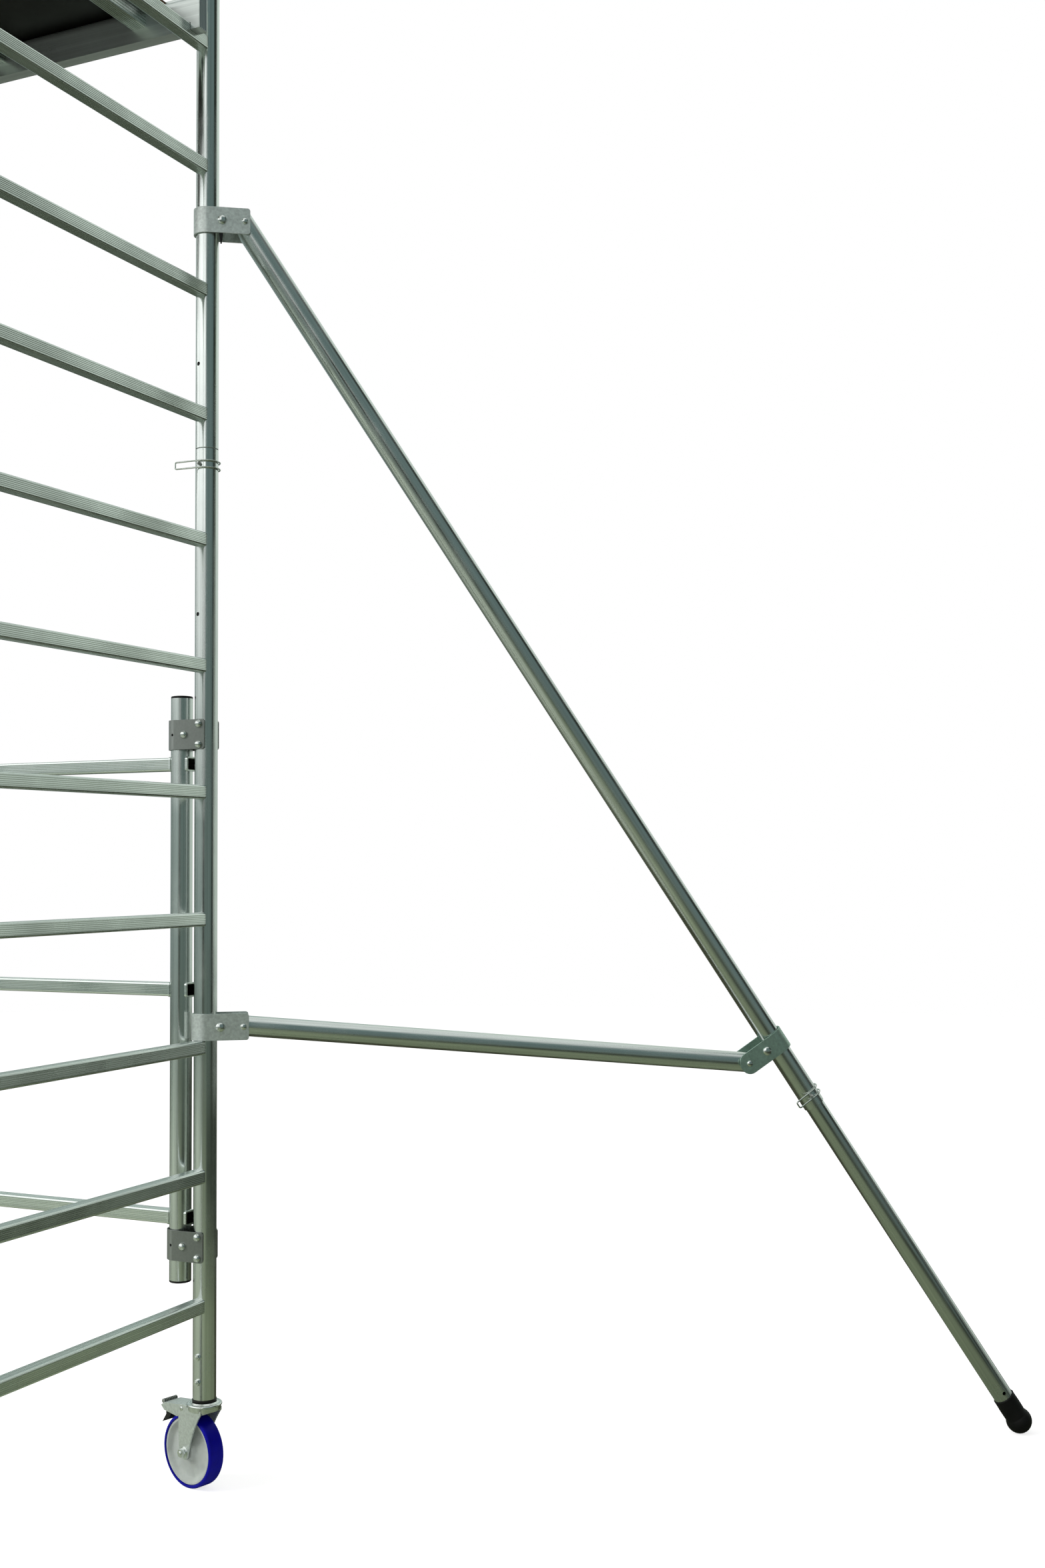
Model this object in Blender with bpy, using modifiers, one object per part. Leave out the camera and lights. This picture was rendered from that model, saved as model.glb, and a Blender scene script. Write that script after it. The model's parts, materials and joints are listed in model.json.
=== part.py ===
"""Narrow aluminium mobile tower scaffold with a folding base unit, castors and two stabilisers.

Metres, +Z up, +X along the bay, +Y across it towards the side that carries the stabilisers.
The origin is on the ground, in the middle of the footprint.
"""

import math

import bmesh
import bpy
from mathutils import Matrix, Vector

# Bay and ladder frames
BAY_LENGTH = 1.85
FRAME_WIDTH = 0.72
UPRIGHT_RADIUS = 0.0254
UPRIGHT_WALL = 0.002
UPRIGHT_FOOT = 0.198
FIRST_RUNG = 0.400
RUNG_PITCH = 0.280
RUNGS_PER_FRAME = 7
RUNG_SIZE = 0.030
RUNG_WALL = 0.0025
RUNG_CORNER = 0.004
RUNG_FLARE = 0.0015
RUNG_TO_JOINT = 0.204
SPIGOT_LENGTH = 0.120
SPIGOT_WALL = 0.002

# Lock pins with spring wire bows
PIN_RADIUS = 0.004
PIN_TIP = 0.012
PIN_HEAD_RADIUS = 0.0052
PIN_HEAD_LENGTH = 0.008
PIN_BELOW_JOINT = 0.036
BOW_WIRE_RADIUS = 0.0015
BOW_HALF_HEIGHT = 0.0072
BOW_WRAP_GAP = 0.0035
BOW_STEP_OUT = 0.0052
BOW_SWEEP_START = 68.0
BOW_SWEEP_END = -90.0
BOW_STEPS = 5
FRAME_BOW_FINGER = 0.062
LEG_BOW_FINGER = 0.040

# Folding side gate
GATE_OFFSET = 0.065
GATE_POST_RADIUS = 0.02415
GATE_POST_WALL = 0.002
GATE_POST_BOTTOM = 0.4476
GATE_POST_TOP = 1.731
GATE_RUNG_FIRST = 0.584
GATE_RUNG_PITCH = 0.500
GATE_RUNGS = 3
CAP_THICKNESS = 0.004
CAP_PLUG = 0.020
CAP_EDGE = 0.0024
HINGE_STRAP_HEIGHTS = (0.527, 1.648)
HINGE_STRAP_HEIGHT = 0.066
HINGE_STRAP_SHEET = 0.003
HINGE_STRAP_PAST_UPRIGHT = 0.014
HINGE_BOLT_RADIUS = 0.004
HINGE_BOLT_SPACING = 0.045

# Platform on a rung of the upper frames
PLATFORM_RUNG = 11
BEAM_HEIGHT = 0.090
BEAM_WIDTH = 0.030
BEAM_WALL = 0.0025
BEAM_SHOULDER = 0.022
BEAM_LIP = 0.006
BEAM_SIDE_GAP = 0.0326
CLAW_LENGTH = 0.0225
CLAW_CLEARANCE = 0.0005
DECK_THICKNESS = 0.010
DECK_END_GAP = 0.070
CROSS_TUBE_WIDTH = 0.040
CROSS_TUBE_HEIGHT = 0.050
END_TUBE_INSET = 0.125
MID_TUBE_X = 0.400
HATCH_CENTRE_X = -0.350
HATCH_LENGTH = 0.594
HATCH_WIDTH = 0.494
HATCH_GAP = 0.003
HATCH_SEAT = 0.007
LATCH_SHEET = 0.004
LATCH_ARM = 0.014
LATCH_PIVOT_INBOARD = 0.047
LATCH_PIVOT_RISE = 0.030
LATCH_PIN_RADIUS = 0.004
LATCH_HOOK = 0.024

# Guard rails
RAIL_RADIUS = 0.020
RAIL_WALL = 0.002
RAIL_MID = 3.700
RAIL_TOP = 4.215
RAIL_POST_RADIUS = 0.015
RAIL_POST_INSET = 0.075
CLIP_HEIGHT = 0.044
CLIP_SHEET = 0.005
CLIP_GAP = 0.0012
CLIP_MOUTH = 100.0

# Castors
CASTOR_TURN = -15.0
CASTOR_TRAIL = 0.036
WHEEL_RADIUS = 0.080
TYRE_WIDTH = 0.040
TYRE_DEPTH = 0.008
RIM_WIDTH = 0.036
RIM_DEPTH = 0.006
HUB_RADIUS = 0.020
HUB_FACE_RADIUS = 0.016
HUB_WIDTH = 0.040
WEB_THICKNESS = 0.008
WEB_EDGE_INSET = 0.009
AXLE_RADIUS = 0.006
FORK_SHEET = 0.004
FORK_INNER_WIDTH = 0.047
FORK_EYE = 0.017
FORK_FRONT = 0.022
FORK_REAR = 0.057
HEAD_RADIUS = 0.0385
HEAD_HEIGHT = 0.014
CROWN_ABOVE_WHEEL = 0.014
SWIVEL_PIN_RADIUS = 0.008
SWIVEL_NUT_RADIUS = 0.013
STEM_LENGTH = 0.110
RING_RADIUS = 0.0268
RING_HEIGHT = 0.0054
PEDAL_PIVOT_BACK = 0.0445
PEDAL_PIVOT_ABOVE_WHEEL = 0.012
PEDAL_PIN_RADIUS = 0.003
PEDAL_REACH = 0.074
PEDAL_SHEET = 0.003
PEDAL_FLANGE = 0.012
PEDAL_FLANGE_MID = 0.0096
PEDAL_PAD_LENGTH = 0.018
PEDAL_PAD_RISE = -0.007

# Stabilisers
STABILISER_TURN = 35.1
STRAP_SHEET = 0.004
STRAP_GAP = 0.0012
STRAP_HEIGHT = 0.058
STRAP_CORNER = 0.006
CLAMP_BOLT_GAP = 0.0014
PIVOT_BOLT_REACH = 0.082
STRAP_END = 0.012
SLIDER_END = 0.022
SLIDER_HEIGHT = 0.050
SLIDER_CORNER = 0.020
CLAMP_BOLT_RADIUS = 0.005
CLAMP_HEAD_RADIUS = 0.0105
PIVOT_BOLT_RADIUS = 0.005
PIVOT_HEAD_RADIUS = 0.0075
NUT_TO_HEAD = 0.9
TOP_STRAP_Z = 2.797
BOTTOM_STRAP_Z = 1.0045
LEG_RADIUS = 0.0254
LEG_WALL = 0.002
LEG_LENGTH = 2.402
LEG_PAST_PIVOT = 0.025
SLIDER_ALONG_LEG = 2.225
EXTENSION_WALL = 0.002
EXTENSION_INSIDE = 0.560
BRACE_RADIUS = 0.0228
BRACE_WALL = 0.002
BRACE_PAST_PIVOT = 0.024
LEG_PIN_ABOVE_END = 0.030
FOOT_REACH = 1.907
FOOT_BALL_RADIUS = 0.031
FOOT_FLAT = 0.0008
FOOT_SOCKET_RADIUS = 0.0265
FOOT_SOCKET_LENGTH = 0.075
FOOT_SOCKET_EDGE = 0.002

# Fits and facets
GAP = 0.0003
RUNNING_GAP = 0.0006
SLIDING_GAP = 0.0004
PAST = 0.01
WELD = 2e-6
FLAT_ANGLE = math.radians(0.3)
SHARP_ANGLE = math.radians(35.0)
ROUND = 10
WHEEL_ROUND = 16
HEXAGON = 6
HEAD_ROUND = 12
ARC_STEPS = 6
SMALL_ROUND = 8

# Values that follow from the sizes above
HALF_BAY = BAY_LENGTH / 2
HALF_WIDTH = FRAME_WIDTH / 2
JOINT_Z = FIRST_RUNG + RUNG_PITCH * (RUNGS_PER_FRAME - 1) + RUNG_TO_JOINT
TOP_Z = JOINT_Z + RUNG_PITCH * RUNGS_PER_FRAME
UPRIGHT_BORE = UPRIGHT_RADIUS - UPRIGHT_WALL
PLATFORM_RUNG_Z = FIRST_RUNG + RUNG_PITCH * (PLATFORM_RUNG - 1)
BEAM_BOTTOM = PLATFORM_RUNG_Z
DECK_TOP = BEAM_BOTTOM + BEAM_HEIGHT
BEAM_OUTER_Y = HALF_WIDTH - UPRIGHT_RADIUS - BEAM_SIDE_GAP
BEAM_END = HALF_BAY + RUNG_SIZE / 2 + CLAW_CLEARANCE + CLAW_LENGTH
HATCH_HINGE_Y = HATCH_WIDTH / 2
LATCH_Y = -(BEAM_OUTER_Y - BEAM_WIDTH - GAP - LATCH_SHEET / 2)
CROWN_Z = 2 * WHEEL_RADIUS + CROWN_ABOVE_WHEEL
HEAD_BOTTOM = CROWN_Z + FORK_SHEET
HEAD_TOP = HEAD_BOTTOM + HEAD_HEIGHT
PEDAL_Z = 2 * WHEEL_RADIUS + PEDAL_PIVOT_ABOVE_WHEEL
FOOT_Z = FOOT_BALL_RADIUS - FOOT_FLAT
LEG_RUN = FOOT_REACH - PIVOT_BOLT_REACH
LEG_DROP = TOP_STRAP_Z - FOOT_Z
LEG_FULL = math.hypot(LEG_RUN, LEG_DROP)
LEG_DIRECTION = Vector((LEG_RUN / LEG_FULL, 0.0, -LEG_DROP / LEG_FULL))
EXTENSION_RADIUS = LEG_RADIUS - LEG_WALL - SLIDING_GAP

METALS = {}


def clear_scene():
    """Remove every object, so that the script can run again."""
    for thing in list(bpy.data.objects):
        bpy.data.objects.remove(thing, do_unlink=True)


def collection(name):
    """A collection of that name, linked to the scene."""
    group = bpy.data.collections.new(name)
    bpy.context.scene.collection.children.link(group)
    return group


def material(name, colour, roughness, metallic):
    """A Principled material."""
    finish = bpy.data.materials.new(name)
    finish.use_nodes = True
    shader = finish.node_tree.nodes["Principled BSDF"]
    shader.inputs["Base Color"].default_value = (*colour, 1.0)
    shader.inputs["Roughness"].default_value = roughness
    shader.inputs["Metallic"].default_value = metallic
    finish.diffuse_color = (*colour, 1.0)
    return finish


def make_materials():
    """The finishes of the tower."""
    return {
        "aluminium": material("polished_aluminium", (0.70, 0.73, 0.72), 0.22, 1.0),
        "zinc": material("zinc_plate", (0.55, 0.60, 0.58), 0.38, 1.0),
        "green_zinc": material("passivated_zinc", (0.30, 0.40, 0.34), 0.40, 1.0),
        "wire": material("spring_wire", (0.45, 0.47, 0.45), 0.30, 1.0),
        "black": material("black_plastic", (0.02, 0.02, 0.02), 0.50, 0.0),
        "rubber": material("black_rubber", (0.02, 0.02, 0.02), 0.75, 0.0),
        "blue": material("blue_tyre", (0.02, 0.02, 0.33), 0.35, 0.0),
        "core": material("grey_core", (0.62, 0.63, 0.60), 0.45, 0.0),
        "deck": material("dark_plywood", (0.03, 0.03, 0.03), 0.55, 0.0),
    }


def solid(mesh, name="solid"):
    """A helper object round a mesh, in the workshop collection."""
    thing = bpy.data.objects.new(name, mesh)
    thing.hide_render = True
    thing.display_type = "WIRE"
    WORKSHOP.objects.link(thing)
    return thing


def from_bmesh(bm):
    """Close a bmesh into a helper object."""
    bmesh.ops.recalc_face_normals(bm, faces=bm.faces)
    mesh = bpy.data.meshes.new("solid")
    bm.to_mesh(mesh)
    bm.free()
    return solid(mesh)


def evaluated(thing):
    """The mesh of a helper object with its modifiers applied, and the helper removed."""
    depsgraph = bpy.context.evaluated_depsgraph_get()
    mesh = bpy.data.meshes.new_from_object(thing.evaluated_get(depsgraph))
    mesh.transform(thing.matrix_world)
    bpy.data.objects.remove(thing, do_unlink=True)
    return mesh


def welded(mesh):
    """A helper object round a mesh whose loose caps are welded on."""
    bm = bmesh.new()
    bm.from_mesh(mesh)
    bmesh.ops.remove_doubles(bm, verts=bm.verts, dist=WELD)
    return from_bmesh(bm)


def rod(start, end, radius, sides=ROUND, end_radius=None):
    """A solid round bar between two points, or a cone where it ends in another radius."""
    start = Vector(start)
    run = Vector(end) - start
    flat = Matrix.Rotation(math.pi / sides, 4, "Z")
    turn = run.to_track_quat("Z", "Y").to_matrix().to_4x4() @ flat
    place = Matrix.Translation(start + run / 2) @ turn
    last = radius if end_radius is None else end_radius
    bm = bmesh.new()
    bmesh.ops.create_cone(
        bm, cap_ends=True, segments=sides, radius1=radius, radius2=last, depth=run.length, matrix=place
    )
    return from_bmesh(bm)


def running_hole(start, end, radius, sides):
    """A cut for a hole whose flats all clear a pin of that radius."""
    return rod(start, end, running_radius(radius, sides), sides)


def running_radius(radius, sides):
    """The corner radius of a faceted hole that a pin of that radius turns in."""
    return (radius + RUNNING_GAP) / math.cos(math.pi / sides)


def block(low, high):
    """A box between two corners."""
    low, high = Vector(low), Vector(high)
    bm = bmesh.new()
    bmesh.ops.create_cube(bm, size=1.0, matrix=Matrix.Translation((low + high) / 2))
    bmesh.ops.scale(bm, vec=high - low, space=Matrix.Translation(-(low + high) / 2), verts=bm.verts)
    return from_bmesh(bm)


def main_axis(run):
    """The number of the axis that a direction follows most."""
    return max(range(3), key=lambda axis: abs(run[axis]))


def bar(start, end, width, height, corner):
    """A bar with rounded long edges along X or Y; its height is upright."""
    start, end = Vector(start), Vector(end)
    run = end - start
    half = Vector((width / 2, width / 2, height / 2))
    along = main_axis(run)
    half[along] = 0.0
    thing = block([min(a, b) - h for a, b, h in zip(start, end, half)],
                  [max(a, b) + h for a, b, h in zip(start, end, half)])
    bm = bmesh.new()
    bm.from_mesh(thing.data)
    long_edges = [e for e in bm.edges if main_axis(e.verts[0].co - e.verts[1].co) == along]
    bmesh.ops.bevel(bm, geom=long_edges, offset=corner, segments=1, affect="EDGES", profile=0.5)
    bm.to_mesh(thing.data)
    bm.free()
    return thing


def outline(points, depth, holes=(), place=Matrix()):
    """A flat outline in the local XY plane, with holes, extruded to a depth across that plane."""
    curve = bpy.data.curves.new("outline", "CURVE")
    curve.dimensions = "2D"
    curve.fill_mode = "BOTH"
    curve.extrude = depth / 2
    for ring in (points, *holes):
        spline = curve.splines.new("POLY")
        spline.points.add(len(ring) - 1)
        for point, (x, y) in zip(spline.points, ring):
            point.co = (x, y, 0.0, 1.0)
        spline.use_cyclic_u = True
    thing = bpy.data.objects.new("outline", curve)
    WORKSHOP.objects.link(thing)
    thing.matrix_world = place
    bpy.context.view_layer.update()
    return welded(evaluated(thing))


def arc(centre, radius, first, last, steps):
    """Points on an arc, in degrees."""
    angles = [math.radians(first + (last - first) * i / steps) for i in range(steps + 1)]
    return [(centre[0] + radius * math.cos(a), centre[1] + radius * math.sin(a)) for a in angles]


def turned(profile, steps, place=Matrix(), ring=False):
    """A shape turned about the local Z axis from points of radius and height."""
    mesh = bpy.data.meshes.new("profile")
    edges = [(i, i + 1) for i in range(len(profile) - 1)]
    if ring:
        edges.append((len(profile) - 1, 0))
    mesh.from_pydata([(radius, 0.0, height) for radius, height in profile], edges, [])
    thing = solid(mesh)
    thing.matrix_world = place @ Matrix.Rotation(math.pi / 2 + math.pi / steps, 4, "Z")
    screw = thing.modifiers.new("Turn", "SCREW")
    screw.axis = "Z"
    screw.steps = steps
    screw.render_steps = steps
    screw.use_merge_vertices = True
    screw.merge_threshold = WELD
    bpy.context.view_layer.update()
    return welded(evaluated(thing))


def wire(points, radius):
    """A bent wire through points."""
    curve = bpy.data.curves.new("wire", "CURVE")
    curve.dimensions = "3D"
    curve.bevel_depth = radius
    curve.bevel_resolution = 0
    curve.use_fill_caps = True
    curve.render_resolution_u = 0
    spline = curve.splines.new("POLY")
    spline.points.add(len(points) - 1)
    for point, place in zip(spline.points, points):
        point.co = (*place, 1.0)
    thing = bpy.data.objects.new("wire", curve)
    WORKSHOP.objects.link(thing)
    bpy.context.view_layer.update()
    return welded(evaluated(thing))


def combine(solids, cuts=()):
    """One closed mesh: the solids joined, less the cuts."""
    body = solids[0]
    for operation, others in (("UNION", solids[1:]), ("DIFFERENCE", cuts)):
        if others:
            group = bpy.data.collections.new(operation)
            WORKSHOP.children.link(group)
            for other in others:
                group.objects.link(other)
            modifier = body.modifiers.new(operation.title(), "BOOLEAN")
            modifier.operation = operation
            modifier.operand_type = "COLLECTION"
            modifier.collection = group
            modifier.solver = "EXACT"
    bpy.context.view_layer.update()
    mesh = evaluated(body)
    bm = bmesh.new()
    bm.from_mesh(mesh)
    bmesh.ops.remove_doubles(bm, verts=bm.verts, dist=WELD)
    bmesh.ops.dissolve_limit(bm, angle_limit=FLAT_ANGLE, verts=bm.verts, edges=bm.edges)
    bm.to_mesh(mesh)
    bm.free()
    for group in list(WORKSHOP.children):
        for other in list(group.objects):
            bpy.data.objects.remove(other, do_unlink=True)
        bpy.data.collections.remove(group)
    return mesh


def part(name, mesh, metal, parent, smooth=True):
    """A named piece of the tower, in its parent's frame."""
    mesh.name = name
    mesh.materials.clear()
    mesh.materials.append(METALS[metal])
    if smooth:
        mesh.shade_smooth()
        mesh.set_sharp_from_angle(angle=SHARP_ANGLE)
    thing = bpy.data.objects.new(name, mesh)
    thing.parent = parent
    PARTS.objects.link(thing)
    return thing


def pivot(name, parent, place=Matrix()):
    """An empty on a joint's axis, or at a sub-assembly's reference point."""
    empty = bpy.data.objects.new(name, None)
    empty.empty_display_size = 0.1
    empty.parent = parent
    empty.matrix_local = place
    PARTS.objects.link(empty)
    return empty


def rung_heights(first):
    """Heights of one ladder frame's rungs, counted from rung number first."""
    return [FIRST_RUNG + RUNG_PITCH * (first - 1 + i) for i in range(RUNGS_PER_FRAME)]


def rung_solids(heights):
    """The rungs of a ladder frame, let into its uprights, and their bores."""
    reach = HALF_WIDTH - UPRIGHT_BORE / 2
    half = RUNG_SIZE / 2 - RUNG_WALL
    rungs = [bar((0, -reach, z), (0, reach, z), RUNG_SIZE, RUNG_SIZE, RUNG_CORNER) for z in heights]
    bores = [block((-half, -HALF_WIDTH, z - half), (half, HALF_WIDTH, z + half)) for z in heights]
    return rungs, bores


def pin_eye(tube_radius):
    """How far the eye in a lock pin's head stands from the axis of the tube it goes through."""
    return tube_radius + PIN_HEAD_LENGTH / 2 + GAP


def lock_pin(centre, across, up, head_side, tube_radius):
    """A lock pin through a tube: shank and drilled head, and the cut for the bow's wire ends."""
    centre, out = Vector(centre), Vector(across) * head_side
    eye = centre + out * pin_eye(tube_radius)
    shank = rod(centre - out * (tube_radius + PIN_TIP), eye, PIN_RADIUS, HEXAGON)
    half_head = out * PIN_HEAD_LENGTH / 2
    head = rod(eye - half_head, eye + half_head, PIN_HEAD_RADIUS, SMALL_ROUND)
    drill = running_hole(eye - Vector(up) * PAST, eye + Vector(up) * PAST, BOW_WIRE_RADIUS, HEXAGON)
    return [shank, head], drill


def base_frame(side, parent):
    """A base ladder frame; side is +1 at the right end of the bay and -1 at the left."""
    rungs, cuts = rung_solids(rung_heights(1))
    solids = []
    for y in (HALF_WIDTH, -HALF_WIDTH):
        solids.append(rod((0, y, UPRIGHT_FOOT), (0, y, JOINT_Z), UPRIGHT_RADIUS))
        cuts.append(rod((0, y, UPRIGHT_FOOT - PAST), (0, y, JOINT_Z + PAST), UPRIGHT_BORE))
    mesh = combine(solids + rungs, cuts + hinge_bolt_holes())
    pins, drills = [solid(mesh)], []
    for y in (HALF_WIDTH, -HALF_WIDTH):
        pieces, drill = lock_pin((0, y, JOINT_Z - PIN_BELOW_JOINT), (0, 1, 0), (0, 0, 1),
                                 math.copysign(1, y), UPRIGHT_RADIUS)
        pins += pieces
        drills.append(drill)
    return part(f"base_frame_{side_name(side)}", combine(pins, drills), "aluminium", parent)


def hinge_bolt_holes():
    """Holes in the far upright for the bolts of the hinge straps."""
    reach = UPRIGHT_RADIUS + PAST
    holes = []
    for z in HINGE_STRAP_HEIGHTS:
        for step in (-0.5, 0.5):
            height = z + step * HINGE_BOLT_SPACING
            holes.append(running_hole((0, HALF_WIDTH - reach, height), (0, HALF_WIDTH + reach, height),
                                      HINGE_BOLT_RADIUS, HEXAGON))
    return holes


def upper_frame(side, parent):
    """An upper ladder frame with spigots that plug into the base frame."""
    rungs, cuts = rung_solids(rung_heights(RUNGS_PER_FRAME + 1))
    foot = JOINT_Z + GAP
    spigot = UPRIGHT_BORE - GAP
    reach = UPRIGHT_RADIUS + PAST
    solids = []
    for y in (HALF_WIDTH, -HALF_WIDTH):
        solids.append(rod((0, y, foot), (0, y, TOP_Z), UPRIGHT_RADIUS))
        solids.append(rod((0, y, JOINT_Z - SPIGOT_LENGTH), (0, y, foot + PAST), spigot))
        cuts.append(rod((0, y, foot + PAST / 2), (0, y, TOP_Z + PAST), UPRIGHT_BORE))
        cuts.append(rod((0, y, JOINT_Z - SPIGOT_LENGTH - PAST), (0, y, foot + PAST), spigot - SPIGOT_WALL))
        pin_z = JOINT_Z - PIN_BELOW_JOINT
        cuts.append(running_hole((0, y - reach, pin_z), (0, y + reach, pin_z), PIN_RADIUS, HEXAGON))
    return part(f"upper_frame_{side_name(side)}", combine(solids + rungs, cuts), "aluminium", parent)


def side_name(side):
    """The word for an end of the bay."""
    return "right" if side > 0 else "left"


def row_name(row):
    """The word for a long side of the bay."""
    return "far" if row > 0 else "near"


def bow(name, parent, head_side, wrap_side, finger, tube_radius):
    """A spring wire bow; its pivot is the pin's eye, with the tube behind it on the local Y axis."""
    wrap = tube_radius + BOW_WRAP_GAP
    eye = pin_eye(tube_radius)
    centre_y = -head_side * eye
    sweep = arc((0, 0), wrap, BOW_SWEEP_START, BOW_SWEEP_END, BOW_STEPS)
    flat = [(0.0, eye), (BOW_STEP_OUT, eye), *sweep, (-finger, -wrap - BOW_WRAP_GAP)]
    path = [(wrap_side * x, centre_y + head_side * y) for x, y in flat]
    upper = [(x, y, BOW_HALF_HEIGHT) for x, y in path]
    lower = [(x, y, -BOW_HALF_HEIGHT) for x, y in reversed(path)]
    ends = PIN_HEAD_RADIUS / 2
    points = [(0, 0, ends), *upper, *lower, (0, 0, -ends)]
    return part(name, evaluated(wire(points, BOW_WIRE_RADIUS)), "wire", parent)


def side_gate(parent):
    """The folding side gate: two hinge posts and the rungs between them."""
    reach = HALF_BAY - GATE_OFFSET
    half = RUNG_SIZE / 2 - RUNG_WALL
    end = reach + GATE_POST_RADIUS + RUNG_FLARE
    posts, rungs, cuts = [], [], []
    for x in (reach, -reach):
        foot, top = Vector((x, HALF_WIDTH, GATE_POST_BOTTOM)), Vector((x, HALF_WIDTH, GATE_POST_TOP))
        past = Vector((0, 0, PAST))
        posts.append(rod(foot, top, GATE_POST_RADIUS))
        cuts.append(rod(foot - past, top + past, GATE_POST_RADIUS - GATE_POST_WALL))
    for number in range(GATE_RUNGS):
        z = GATE_RUNG_FIRST + GATE_RUNG_PITCH * number
        rungs.append(bar((-end, HALF_WIDTH, z), (end, HALF_WIDTH, z), RUNG_SIZE, RUNG_SIZE, RUNG_CORNER))
        cuts.append(block((-end - PAST, HALF_WIDTH - half, z - half),
                          (end + PAST, HALF_WIDTH + half, z + half)))
    return part("side_gate", combine(posts + rungs, cuts), "aluminium", parent)


def post_cap(side, end, parent):
    """A black cap plugged into an end of a hinge post; end is +1 at the top and -1 at the bottom."""
    plug = GATE_POST_RADIUS - GATE_POST_WALL - GAP
    profile = [(0.0, CAP_THICKNESS), (GATE_POST_RADIUS - CAP_EDGE, CAP_THICKNESS),
               (GATE_POST_RADIUS, CAP_THICKNESS / 2), (GATE_POST_RADIUS, 0.0), (plug, 0.0),
               (plug, -CAP_PLUG), (0.0, -CAP_PLUG)]
    height = GATE_POST_TOP + GAP if end > 0 else GATE_POST_BOTTOM - GAP
    flip = Matrix() if end > 0 else Matrix.Rotation(math.pi, 4, "X")
    place = Matrix.Translation((side * (HALF_BAY - GATE_OFFSET), HALF_WIDTH, height)) @ flip
    level = "top" if end > 0 else "bottom"
    mesh = evaluated(turned(profile, ROUND, place))
    return part(f"post_cap_{side_name(side)}_{level}", mesh, "black", parent)


def strap_solid(inner, sheet, reach, height, corner):
    """A U-shaped strap round the local Z axis, with its legs along +X and their corners rounded."""
    outer = inner + sheet
    points = [(reach, outer), *arc((0, 0), outer, 90, 270, ARC_STEPS), (reach, -outer),
              (reach, -inner), *arc((0, 0), inner, 270, 90, ARC_STEPS), (reach, inner)]
    thing = outline(points, height)
    bm = bmesh.new()
    bm.from_mesh(thing.data)
    ends = [e for e in bm.edges
            if all(abs(v.co.x - reach) < WELD for v in e.verts)
            and abs(e.verts[0].co.z - e.verts[1].co.z) < WELD]
    bmesh.ops.bevel(bm, geom=ends, offset=corner, segments=2, affect="EDGES", profile=0.5)
    bm.to_mesh(thing.data)
    bm.free()
    return thing


def bolt_solids(x, z, half_width, radius, head_radius, front):
    """A domed bolt across a strap: shank, head on the front side and hexagon nut behind."""
    back = -front
    nut = NUT_TO_HEAD * head_radius
    return [
        rod((x, -half_width, z), (x, half_width, z), radius, HEXAGON),
        rod((x, front * (half_width - GAP), z), (x, front * (half_width + head_radius / 2), z),
            head_radius, SMALL_ROUND, head_radius / 2),
        rod((x, back * (half_width - GAP), z), (x, back * (half_width + nut), z), nut, HEXAGON),
    ]


def hinge_strap(side, level, parent):
    """A strap round the hinge post, bolted through the upright; legs point away from the bay."""
    inner = max(UPRIGHT_RADIUS, GATE_POST_RADIUS) + GAP * 2
    reach = GATE_OFFSET + HINGE_STRAP_PAST_UPRIGHT
    half = inner + HINGE_STRAP_SHEET
    solids = [strap_solid(inner, HINGE_STRAP_SHEET, reach, HINGE_STRAP_HEIGHT, STRAP_CORNER)]
    head = 2 * HINGE_BOLT_RADIUS
    for step in (-0.5, 0.5):
        solids += bolt_solids(GATE_OFFSET, step * HINGE_BOLT_SPACING, half, HINGE_BOLT_RADIUS, head, -side)
    mesh = combine(solids)
    turn = Matrix() if side > 0 else Matrix.Rotation(math.pi, 4, "Z")
    post = (side * (HALF_BAY - GATE_OFFSET), HALF_WIDTH, HINGE_STRAP_HEIGHTS[level])
    mesh.transform(Matrix.Translation(post) @ turn)
    word = ("lower", "upper")[level]
    return part(f"hinge_strap_{side_name(side)}_{word}", mesh, "zinc", parent)


def beam_outline(inset):
    """The side beam's section, from its outer bottom corner; inset gives the hollow inside."""
    ledge = BEAM_HEIGHT - DECK_THICKNESS - GAP
    shoulder = BEAM_SHOULDER - inset
    centre = (BEAM_WIDTH - BEAM_SHOULDER, ledge - BEAM_SHOULDER)
    curve = arc(centre, shoulder, 90, 0, ARC_STEPS // 2)
    if inset:
        return [(inset, inset), (inset, ledge - inset), *curve, (BEAM_WIDTH - inset, inset)]
    return [(0, 0), (0, BEAM_HEIGHT), (BEAM_LIP, BEAM_HEIGHT), (BEAM_LIP, ledge), *curve, (BEAM_WIDTH, 0)]


def beam(row):
    """A side beam, extruded along the bay; row is +1 on the far side."""
    place = (Matrix.Translation((0, row * BEAM_OUTER_Y, BEAM_BOTTOM))
             @ Matrix(((0, 0, 1, 0), (-row, 0, 0, 0), (0, 1, 0, 0), (0, 0, 0, 1))))
    return outline(beam_outline(0.0), 2 * BEAM_END, [beam_outline(BEAM_WALL)], place)


def cross_tube_places():
    """Places of the cross tubes along the bay: both ends, both ends of the hatch and one between."""
    seat = HATCH_LENGTH / 2 - HATCH_SEAT + CROSS_TUBE_WIDTH / 2
    end = HALF_BAY - END_TUBE_INSET
    return [end, MID_TUBE_X, HATCH_CENTRE_X + seat, HATCH_CENTRE_X - seat, -end]


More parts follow.
